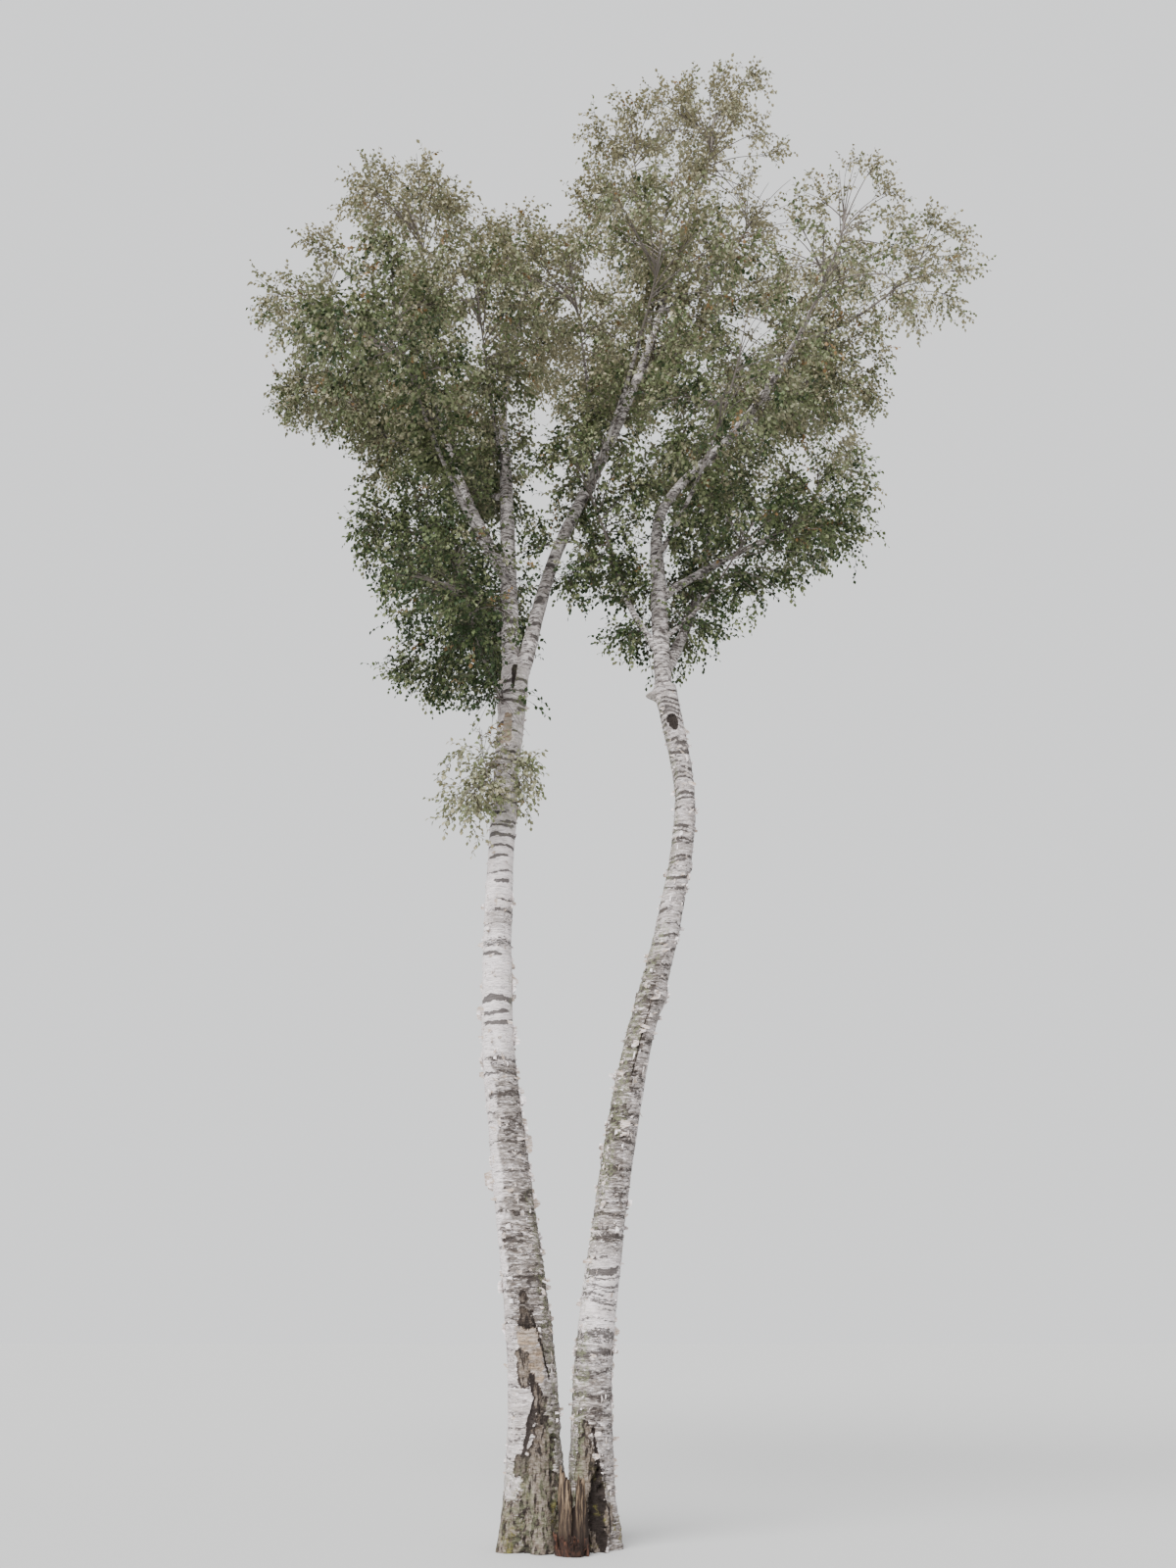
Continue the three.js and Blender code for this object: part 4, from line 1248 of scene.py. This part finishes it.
def stump_core(random):
    """The low dark core that fills the foot of the hollow."""
    turn = np.linspace(0, FULL_TURN, CORE_SIDES, endpoint=False)
    wobble = rim_noise(turn, CORE_CELLS[0], random.integers(999)) - 0.5
    radius = STUMP_RADIUS * (CORE_GIRTH[0] + CORE_GIRTH[1] * wobble)
    rim = np.stack([np.cos(turn) * radius, np.sin(turn) * radius, 0 * turn], axis=1)
    top = UP * (STUMP_CORE + CORE_RIM * rim_noise(turn, CORE_CELLS[1], random.integers(999)))[:, None]
    return STUMP_MIDDLE + np.vstack([rim, rim * CORE_NARROW + top, [0 * UP, UP * STUMP_CORE * CORE_DIP]])


class BIRCH_OT_stump(bpy.types.Operator):
    """Make the old hollow stump between the stems"""

    bl_idname = "birch.stump"
    bl_label = "Old stump"
    bl_options = {"REGISTER", "UNDO"}

    def execute(self, context):
        stump = context.scene.birch_stump
        random = np.random.default_rng(STUMP_SEED)
        slabs = stump_slabs(stump, random)
        first_chunk = len(slabs) - stump.chunks
        points, rotten = [], []
        for index, slab in enumerate(slabs):
            rings = splinter_points(slab, random)
            points += [rings.reshape(-1, 3), rings[[0, -1]].mean(axis=1)]
            # Each tall splinter gets darker towards its foot, through the same number as rot
            low = FOOT_DARK * ease(rings[..., 2], *FOOT_DARK_FADE) * (index < first_chunk)
            rotten += [np.clip(slab.rotten + low, 0, 1).ravel(), [1, slab.rotten]]
        core = stump_core(random)
        splinter, count = (SPLINTER_RINGS, SPLINTER_SIDES), len(slabs)
        step = math.prod(splinter) + 2
        quads, ends = (
            np.vstack([repeated(faces(*splinter), count, step), faces(2, CORE_SIDES) + count * step])
            for faces in (tube_faces, end_faces))
        mesh = new_mesh("hollow_stump_wood", np.vstack([*points, core]), quads, ends)
        set_smooth(mesh)
        broken = np.repeat([0, 1, 0], [first_chunk * step, stump.chunks * step, len(core)])
        # The core takes the darkest wood colour all over
        set_values(mesh, rotten=np.concatenate([*rotten, np.ones(len(core))]), broken=broken)
        add_piece(mesh, ["hollow_stump"], [rotten_wood(stump)])
        return {"FINISHED"}


# Growth of twigs and leaves

LIMBLETS = 22
LIMBLET_STARTS = (0.08, 1)
LIMBLET_RISE = (-65, 80)
LIMBLET_REACH = (0.66, 0.96)
LIMBLET_ARCH = 0.2
LIMBLET_GIRTH = (0.42, 0.26)
LIMBLET_TIP = 0.003
TWIG_REACH = 0.94
TWIG_LONGEST = 0.5
LIMB_SPRAYS = (0.22, 1)
SPRAY_STEPS = 21
SPRAY_HOLLOW = 0.24
SPRAY_REACH = 0.54
SPRAY_SHARE = 0.85
SPRIG_GIRTHS = 3.2
TWIG_GAP = 0.235
TWIG_STEPS = 9
TWIG_TURN_COST = 1.7
TWIG_LEAVE = 0.4
TWIG_ARCH = 0.08
TWIG_GIRTH = (0.0022, 0.0045)
TWIG_TIP = 0.0018
OVERLAP_THINNING = 0.8
SHADED_DEPTH = (0.35, 0.85)
SHADED_SHARE = 0.35
LEAFY = {
    "west_leader": 0.43, "west_long_leader": 0.48, "east_leader": 0.31,
    "west_side": 0.52, "west_front": 0.95, "west_back": 0.85, "west_heart": 0.7, "west_low_left": 1.45,
    "west_low_back": 1.6, "west_shoulder": 0.44, "west_outer": 1.6, "west_skirt": 0.75, "west_sprout": 1.8,
    "long_left": 0.6, "long_right": 0.27, "long_front": 0.5, "long_back": 0.62, "long_mid_right": 0.55,
    "long_mid_left": 0.5, "east_outer": 0.55, "east_front": 0.18, "east_back": 0.42, "east_mid": 1.25,
    "east_front_low": 0.42, "east_long": 1.5, "east_fork": 0.95, "east_stub": 1.5, "east_low": 0.8,
}
BOX_MIDDLE = np.mean(cad_box, axis=0)
BOX_HALF = np.ptp(cad_box, axis=0) / 2
BOX_MARGIN = 0.12
CLEAR_STEPS = 13
# The limbs that show white through the crown from in front, and up to what share of their length
SHOWN_LIMBS = {
    "west_leader": 0.62, "west_long_leader": 0.7, "west_side": 0.3, "east_leader": 0.8, "east_long": 0.9,
    "east_fork": 0.45, "east_stub": 0.6,
}
SHOWN_STEPS = 70
SHOWN_MARGIN = 0.085
SHOWN_THINNING = 0.82
VIEWER = np.array([CAMERA_EAST, -CAMERA_DISTANCE, EYE_HEIGHT])
LEAST_SPRIGS = 2
SPRIG_START = 0.15
SPRIG_LEAN = (0.45, 1.1)
SPRIG_LENGTH = 0.19
SPRIG_SIZES = (0.7, 1.25)
SPRIG_ARCH = 10
SPRIG_RADII = (0.002, 0.0013)
LEAF_START = 0.12
LEAF_LEAN = (0.5, 1.25)
LAST_LEAF_LEAN = 0.3
LEAF_DROOP = -0.5
LEAF_ROLL = 0.6
LEAF_SIZES = (0.62, 1)
LEAF_ARCH = 0.12
LEAF_CORNERS = ((0, 0), (0.42, 0.5), (0.7, 0.37), (1, 0), (0.7, -0.37), (0.42, -0.5))
GROWTH_SEED = 500
# Tints from the foot of the crown to its top, darker low down as painted shade and paler at the top as
# painted light and leaves turning there, and the last for the few leaves that have turned
TINTS = ("deep", "green", "olive", "gold_green", "straw", "amber")
TINT_HEIGHTS = (5.4, 15.6)
TINT_SPREAD = 0.22
AMBER_SHARE = 0.014
SPROUT_TINTS = (2, 3, 3, 4)
# Steps and sides of the tubes of stems, limblets, twigs and sprigs, and which of the two barks each has
SHOOT_TUBES = ((10, 8), (7, 5), (3, 3), (1, 3))
SHOOT_BARKS = (0, 0, 1, 1)


def seeded_random(seed):
    """The same run of numbers from 0 to 1 as in the part's source."""
    state = seed
    while True:
        state = (state + 0x6D2B79F5) & 0xFFFFFFFF
        mixed = ((state ^ (state >> 15)) * (state | 1)) & 0xFFFFFFFF
        mixed ^= (mixed + (((mixed ^ (mixed >> 7)) * (mixed | 61)) & 0xFFFFFFFF)) & 0xFFFFFFFF
        yield ((mixed ^ (mixed >> 14)) & 0xFFFFFFFF) / 4294967296


def all_masses(limbs):
    """The space and the stem of each mass of foliage."""
    rows = [row for row in UPRIGHTS if row.wide] + [row for rows in BOUGHS.values() for row in rows]
    end = np.array(1.0)
    tips = np.array([limbs[row.name].curve(end) for row in rows])
    headings = np.array([heading_along(limbs[row.name].curve, end) for row in rows])
    chords = np.array([direction(row.heading, row.rise) if isinstance(row, Bough) else heading
                       for row, heading in zip(rows, headings)])
    wide, tall = np.array([(row.wide, row.tall) for row in rows]).T
    narrow = np.minimum(wide, tall)[:, None]
    foot = tips + SEAT_GAP * headings
    middle = tips + MASS_AHEAD * narrow * chords
    bend = foot + STEM_LEAVE * narrow * headings
    top = middle + UP * (STEM_RISE * tall)[:, None]
    radius = np.array([limbs[row.name].radius[-1] for row in rows])
    names, half = [row.name for row in rows], np.stack([wide, wide, tall], axis=1)
    return Masses(names, middle, half, narrow[:, 0], foot, bend, top, radius)


def clear_of_limbs(points, limbs, clearance, girths=1):
    """Whether each point stays off every limb, by this many times the limb's radius and a clearance."""
    clear = np.ones(len(points), bool)
    for limb in limbs.values():
        share = np.linspace(0, 1, CLEAR_STEPS)
        places = limb.curve(share)
        for start, end, from_share in zip(places[:-1], places[1:], share[:-1]):
            radius = limb_radius(limb, np.array(from_share), 0) * girths + clearance
            low, high = np.minimum(start, end) - radius, np.maximum(start, end) + radius
            near = np.flatnonzero(np.all((points > low) & (points < high), axis=1) & clear)
            line = end - start
            place = np.clip((points[near] - start) @ line / (line @ line), 0, 1)
            gap = np.linalg.norm(points[near] - start - place[:, None] * line, axis=1)
            clear[near[gap < radius]] = False
    return clear


def hides_limb(points, limbs):
    """Whether each point hangs before a limb that shows through the crown, as seen from in front."""
    sight = points - VIEWER
    hides = np.zeros(len(points), bool)
    for name, share in SHOWN_LIMBS.items():
        along = np.linspace(0, share, SHOWN_STEPS)
        places = limbs[name].curve(along) - VIEWER
        nearer = places[:, 1] / sight[:, 1:2]
        aside = sight[:, None, ::2] * nearer[..., None] - places[:, ::2]
        gap = np.linalg.norm(aside, axis=2) - limb_radius(limbs[name], along, 0)
        hides |= np.any((nearer > 1) & (gap < SHOWN_MARGIN), axis=1)
    return hides


def square_axes(heading):
    """Two directions square to each heading."""
    flat = unit(np.cross(heading, [0.013, 0.021, 1.0]))
    return flat, np.cross(heading, flat)


def leaning(heading, turn, lean):
    """Directions that lean off these headings, each at its turn round it."""
    return circle(heading, circle(*square_axes(heading), turn), lean)


def pick(rows, which):
    """Some of these shoots or leaves."""
    return type(rows)(*(field[which] for field in rows))


def joined(groups):
    """Groups of shoots as one."""
    return Shoots(*(np.concatenate(fields) for fields in zip(*groups)))


def on_shoots(shoots, which, share):
    """The places at these shares of some shoots, and the headings there."""
    curve = [field[which] for field in (shoots.start, shoots.bend, shoots.end)]
    return bent(*curve, share), bent_heading(*curve, share)


def numbered(counts):
    """For things that stand in groups: the group of each, and its number in the group."""
    group = np.repeat(np.arange(len(counts)), counts)
    return group, np.arange(len(group)) - np.repeat(np.cumsum(counts) - counts, counts)


def first_shoots(masses):
    """The stem of each mass, and the limblets that leave it at the golden angle."""
    parts = []
    for index in range(len(masses.names)):
        random = seeded_random(FIRST_SEED + index)
        phase = next(random) * FULL_TURN
        spreads = [TWIG_SPREAD * (next(random) - 0.5) for _ in range(LIMBLETS)]
        for order, spread in enumerate(spreads):
            by_rule = order < TWIGS
            share = order / (TWIGS - 1) if by_rule else order * GOLDEN_SHARE % 1
            rise = mix(TWIG_RISE if by_rule else LIMBLET_RISE, share) + spread
            outward = direction(math.degrees(phase + order * GOLDEN_ANGLE), rise)
            along = mix(TWIG_STARTS if by_rule else LIMBLET_STARTS, share)
            start = bent(masses.foot[index], masses.bend[index], masses.top[index], along)
            end = masses.middle[index] + outward * masses.half[index] * mix(LIMBLET_REACH, next(random))
            parts.append((index, start, end))
    mass, start, end = (np.array(values) for values in zip(*parts))
    reach = np.linalg.norm(end - start, axis=1)
    bend = (start + end) / 2 + UP * (LIMBLET_ARCH * reach)[:, None]
    thick = TWIG_RADIUS * masses.narrow[mass] * (LIMBLET_GIRTH[0] + LIMBLET_GIRTH[1] * reach)
    limblets = Shoots(mass, start, bend, end, thick, np.full(len(mass), LIMBLET_TIP))
    every, thin = np.arange(len(masses.names)), TWIG_RADIUS / 2 * masses.narrow
    return Shoots(every, masses.foot, masses.bend, masses.top, masses.radius, thin), limblets


def even_points(index, masses, limb_places, random):
    """Points spread evenly through a mass and round its limb, fewer where its neighbours reach too."""
    low = np.minimum(masses.middle[index] - masses.half[index], limb_places.min(axis=0) - SPRAY_REACH)
    high = np.maximum(masses.middle[index] + masses.half[index], limb_places.max(axis=0) + SPRAY_REACH)
    sides = (np.arange(*span, TWIG_GAP) for span in zip(low, high))
    cells = np.stack(np.meshgrid(*sides), axis=-1).reshape(-1, 3)
    points = cells + TWIG_GAP * random.random(cells.shape)
    depths = np.sqrt(np.sum(((points[:, None] - masses.middle) / masses.half) ** 2, axis=2))
    within = depths < TWIG_REACH
    lit = np.interp(depths.min(axis=1), SHADED_DEPTH, (SHADED_SHARE, 1))
    from_limb = np.min(np.linalg.norm(points[:, None] - limb_places, axis=2), axis=1)
    spray = (from_limb > SPRAY_HOLLOW) & (from_limb < SPRAY_REACH) & ~np.any(within, axis=1)
    share = 1 / np.maximum(within.sum(axis=1), 1) ** OVERLAP_THINNING
    share *= np.where(spray, SPRAY_SHARE, lit * LEAFY.get(masses.names[index], 1))
    return points[(within[:, index] | spray) & (random.random(len(points)) < share)]


def reaching_twigs(parents, limbs, masses, random):
    """Twigs that leave the nearest wood behind them, with their tips spread evenly through each mass."""
    parts = []
    for index, name in enumerate(masses.names):
        own = pick(parents, parents.mass == index)
        share = np.tile((np.arange(TWIG_STEPS) + 0.5) / TWIG_STEPS, (len(own.mass), 1))
        roots, headings = (field.reshape(-1, 3) for field in on_shoots(own, np.s_[:, None], share))
        limb, along = limbs[name], np.linspace(*LIMB_SPRAYS, SPRAY_STEPS)
        roots = np.concatenate([roots, limb.curve(along)])
        headings = np.concatenate([headings, heading_along(limb.curve, along)])
        tips = even_points(index, masses, limb.curve(along), random)
        reach = tips[:, None] - roots
        distance = np.linalg.norm(reach, axis=2)
        forward = np.sum(reach * headings, axis=2) / distance
        best = np.argmin(distance * (TWIG_TURN_COST - forward), axis=1)
        length = distance[np.arange(len(tips)), best]
        kept = length < TWIG_LONGEST
        tips, best, length = tips[kept], best[kept], length[kept]
        start, long = roots[best], length[:, None]
        bend = start + TWIG_LEAVE * long * headings[best] + TWIG_ARCH * long * UP
        parts.append(Shoots(np.full(len(tips), index), start, bend, tips,
                            TWIG_GIRTH[0] + TWIG_GIRTH[1] * length, np.full(len(tips), TWIG_TIP)))
    return joined(parts)


def side_sprigs(twigs, spacing, random):
    """Short sprigs that leave the twigs at the golden angle."""
    counts = LEAST_SPRIGS + (np.linalg.norm(twigs.end - twigs.start, axis=1) / spacing).astype(int)
    index, order = numbered(counts)
    share = SPRIG_START + (1 - SPRIG_START) * (order + random.random(len(index))) / counts[index]
    start, heading = on_shoots(twigs, index, share)
    turn = random.uniform(0, FULL_TURN, len(counts))[index] + order * GOLDEN_ANGLE
    outward = unit(leaning(heading, turn, random.uniform(*SPRIG_LEAN, len(index))))
    reach = SPRIG_LENGTH * random.uniform(*SPRIG_SIZES, len(index))[:, None]
    bend = start + outward * reach / 2 + UP * reach / SPRIG_ARCH
    thick, thin = (np.full(len(index), radius) for radius in SPRIG_RADII)
    return Shoots(twigs.mass[index], start, bend, start + outward * reach, thick, thin)


def grow_shoots(limbs, masses, leaf):
    """All the wood within the masses: stems, limblets, twigs and sprigs."""
    random = np.random.default_rng(GROWTH_SEED)
    stems, limblets = first_shoots(masses)
    twigs = reaching_twigs(joined([stems, limblets]), limbs, masses, random)
    sprigs = side_sprigs(twigs, leaf.spray_spacing, random)
    sprout = sprigs.mass == masses.names.index("west_sprout")
    kept = clear_of_limbs(sprigs.end, limbs, LEAF_CLEARANCE, SPRIG_GIRTHS) | sprout
    kept &= np.all(np.abs(sprigs.end - BOX_MIDDLE) < BOX_HALF + BOX_MARGIN, axis=1)
    thinned = np.random.default_rng(GROWTH_SEED + 2).random(len(kept)) < SHOWN_THINNING
    kept &= sprout | ~(thinned & hides_limb(sprigs.bend, limbs))
    return stems, limblets, twigs, pick(sprigs, kept)


def grow_leaves(limbs, masses, sprigs, leaf):
    """Leaves that stand round each sprig, with one tint for each spray."""
    random = np.random.default_rng(GROWTH_SEED + 1)
    sprays, count = len(sprigs.mass), leaf.leaves_per_spray
    index, order = numbered(np.full(sprays, count))
    share = LEAF_START + (1 - LEAF_START) * order / max(count - 1, 1)
    root, heading = on_shoots(sprigs, index, share)
    turn = random.uniform(0, FULL_TURN, sprays)[index] + order * GOLDEN_ANGLE
    lean = random.uniform(*LEAF_LEAN, len(index)) * np.where(order == count - 1, LAST_LEAF_LEAN, 1)
    outward = unit(leaning(heading, turn, lean) + UP * LEAF_DROOP)
    across = circle(*square_axes(outward), random.normal(0, LEAF_ROLL, len(index)))
    size = leaf.leaf_length * random.uniform(*LEAF_SIZES, len(index))
    amber = len(TINTS) - 1
    # Tint by height: darker low in the crown as painted shade, paler at the top as painted light and turning
    # leaves
    tone = ease(sprigs.end[:, 2], *TINT_HEIGHTS) + random.normal(0, TINT_SPREAD, sprays)
    tint = np.clip((tone * amber).astype(int), 0, amber - 1)
    sprout = sprigs.mass == masses.names.index("west_sprout")
    tint = np.where(sprout, random.choice(SPROUT_TINTS, sprays), tint)
    tint = np.where(random.random(sprays) < AMBER_SHARE, amber, tint)[index]
    kept = clear_of_limbs(root + outward * size[:, None], limbs, LEAF_CLEARANCE)
    return pick(Leaves(sprigs.mass[index], root, outward, across, size, tint), kept)


def shoot_tubes(shoots, steps, sides):
    """Points and quads of tapering tubes along shoots."""
    count = len(shoots.mass)
    share = np.broadcast_to(np.linspace(0, 1, steps + 1), (count, steps + 1))
    middle, heading = on_shoots(shoots, np.s_[:, None], share)
    turn = np.linspace(0, FULL_TURN, sides, endpoint=False)
    around = circle(*(axis[..., None, :] for axis in square_axes(heading)), turn)
    radius = shoots.thick[:, None] * (1 - share) + shoots.thin[:, None] * share
    points = middle[..., None, :] + around * radius[..., None, None]
    faces = tube_faces(steps + 1, sides)[:, ::-1]
    return points.reshape(-1, 3), repeated(faces, count, (steps + 1) * sides)


def leaf_blades(leaves, leaf):
    """Points and quads of leaves, each folded up along its middle line."""
    normal = np.cross(leaves.across, leaves.heading)
    points = []
    for forward, sideways in LEAF_CORNERS:
        aside = sideways * leaf.leaf_width
        lifted = abs(aside) * math.tan(leaf.fold) - LEAF_ARCH * forward**2
        points.append(leaves.root + leaves.length[:, None] * (
            forward * leaves.heading + aside * leaves.across + lifted * normal))
    faces = np.array([[0, 1, 2, 3], [0, 3, 4, 5]])
    return np.stack(points, axis=1).reshape(-1, 3), repeated(faces, len(leaves.mass), len(LEAF_CORNERS))


class BIRCH_OT_twigs(bpy.types.Operator):
    """Grow the twigs within each mass of foliage"""

    bl_idname = "birch.twigs"
    bl_label = "Twigs"
    bl_options = {"REGISTER", "UNDO"}

    def execute(self, context):
        bark = context.scene.birch_bark
        limbs = all_limbs()
        masses = all_masses(limbs)
        grown = grow_shoots(limbs, masses, context.scene.birch_leaf)
        finishes = [plain("thin_bark", bark.thin, 0.7), plain("twig_bark", bark.twig, 0.6)]
        for index, name in enumerate(masses.names):
            points, faces = zip(*(shoot_tubes(pick(shoots, shoots.mass == index), *tube)
                                  for shoots, tube in zip(grown, SHOOT_TUBES)))
            firsts = np.cumsum([0, *map(len, points)])
            quads = np.vstack([some + first for some, first in zip(faces, firsts)])
            mesh = new_mesh(f"{name}_twigs", np.vstack(points), quads)
            set_smooth(mesh)
            barks = np.repeat(SHOOT_BARKS, [len(some) for some in faces])
            add_piece(mesh, [f"{name}_foliage"], finishes, barks)
        return {"FINISHED"}


class BIRCH_OT_leaves(bpy.types.Operator):
    """Grow the leaves of each mass of foliage"""

    bl_idname = "birch.leaves"
    bl_label = "Leaves"
    bl_options = {"REGISTER", "UNDO"}

    def execute(self, context):
        leaf = context.scene.birch_leaf
        limbs = all_limbs()
        masses = all_masses(limbs)
        leaves = grow_leaves(limbs, masses, grow_shoots(limbs, masses, leaf)[-1], leaf)
        finishes = [plain(f"leaf_{tint}", getattr(leaf, tint), 0.5) for tint in TINTS]
        for index, name in enumerate(masses.names):
            own = pick(leaves, leaves.mass == index)
            points, faces = leaf_blades(own, leaf)
            mesh = new_mesh(f"{name}_leaves", points, faces)
            set_smooth(mesh, False)
            add_piece(mesh, [f"{name}_foliage"], finishes, np.repeat(own.tint, 2))
        return {"FINISHED"}


# Stage

FLOOR_SIZE = 400
FLOOR_DROP = 0.001
SENSOR = 36
FOCAL_PIXELS = 1202
FRAME_HEIGHT = 1600
KEY_TURN = (math.radians(48), 0, math.radians(-28))
KEY_SOFTNESS = math.radians(50)


class BIRCH_OT_stage(bpy.types.Operator):
    """Make the floor, the soft light and the camera"""

    bl_idname = "birch.stage"
    bl_label = "Stage"
    bl_options = {"REGISTER", "UNDO"}

    def execute(self, context):
        scene, stage = context.scene, context.scene.birch_stage
        east, north = FLOOR_SIZE / 2 * np.array([[-1, 1, 1, -1], [-1, -1, 1, 1]])
        mesh = new_mesh("floor", np.stack([east, north, np.full(4, -FLOOR_DROP)], axis=1), [[0, 1, 2, 3]])
        mesh.materials.append(plain("floor", stage.floor, 0.9))
        floor = add_object("floor", mesh)
        world = bpy.data.worlds.new("soft_surroundings")
        world.use_nodes = True
        background = world.node_tree.nodes["Background"]
        background.inputs["Color"].default_value = (*stage.sky, 1)
        background.inputs["Strength"].default_value = stage.sky_strength
        scene.world = world
        lamp = bpy.data.lights.new("key", "SUN")
        lamp.energy = stage.key_strength
        lamp.angle = KEY_SOFTNESS
        add_object("key", lamp).rotation_euler = KEY_TURN
        view = bpy.data.cameras.new("camera")
        view.sensor_width = SENSOR
        view.lens = SENSOR * FOCAL_PIXELS / FRAME_HEIGHT
        view.clip_end = FLOOR_SIZE
        camera = add_object("camera", view)
        camera.location = (CAMERA_EAST, -stage.distance, stage.eye_height)
        camera.rotation_euler = (math.radians(90) + stage.tilt, 0, 0)
        scene.camera = camera
        return {"FINISHED"}


class BIRCH_PT_panel(bpy.types.Panel):
    """Pieces of the tree and their settings"""

    bl_idname = "BIRCH_PT_panel"
    bl_label = "Paper birch"
    bl_space_type = "VIEW_3D"
    bl_region_type = "UI"
    bl_category = "Birch"

    def draw(self, context):
        for operator in OPERATORS:
            self.layout.operator(operator.bl_idname)
        for name in SETTINGS:
            settings = getattr(context.scene, name)
            box = self.layout.box()
            for key in settings.__annotations__:
                box.prop(settings, key)


SETTINGS = {
    "birch_bark": BirchBarkSettings,
    "birch_leaf": BirchLeafSettings,
    "birch_stump": BirchStumpSettings,
    "birch_stage": BirchStageSettings,
}
OPERATORS = (
    BIRCH_OT_stage,
    BIRCH_OT_stems,
    BIRCH_OT_curls,
    BIRCH_OT_boughs,
    BIRCH_OT_stump,
    BIRCH_OT_twigs,
    BIRCH_OT_leaves,
)


def register():
    """Registers the settings, operators and panel."""
    for group in (*SETTINGS.values(), *OPERATORS, BIRCH_PT_panel):
        bpy.utils.register_class(group)
    for name, group in SETTINGS.items():
        setattr(bpy.types.Scene, name, PointerProperty(type=group))


def unregister():
    """Takes them away again."""
    for name in SETTINGS:
        delattr(bpy.types.Scene, name)
    for group in reversed((*SETTINGS.values(), *OPERATORS, BIRCH_PT_panel)):
        bpy.utils.unregister_class(group)


def main():
    """Makes every piece."""
    register()
    for operator in OPERATORS:
        group, name = operator.bl_idname.split(".")
        getattr(getattr(bpy.ops, group), name)()


if __name__ == "__main__":
    main()
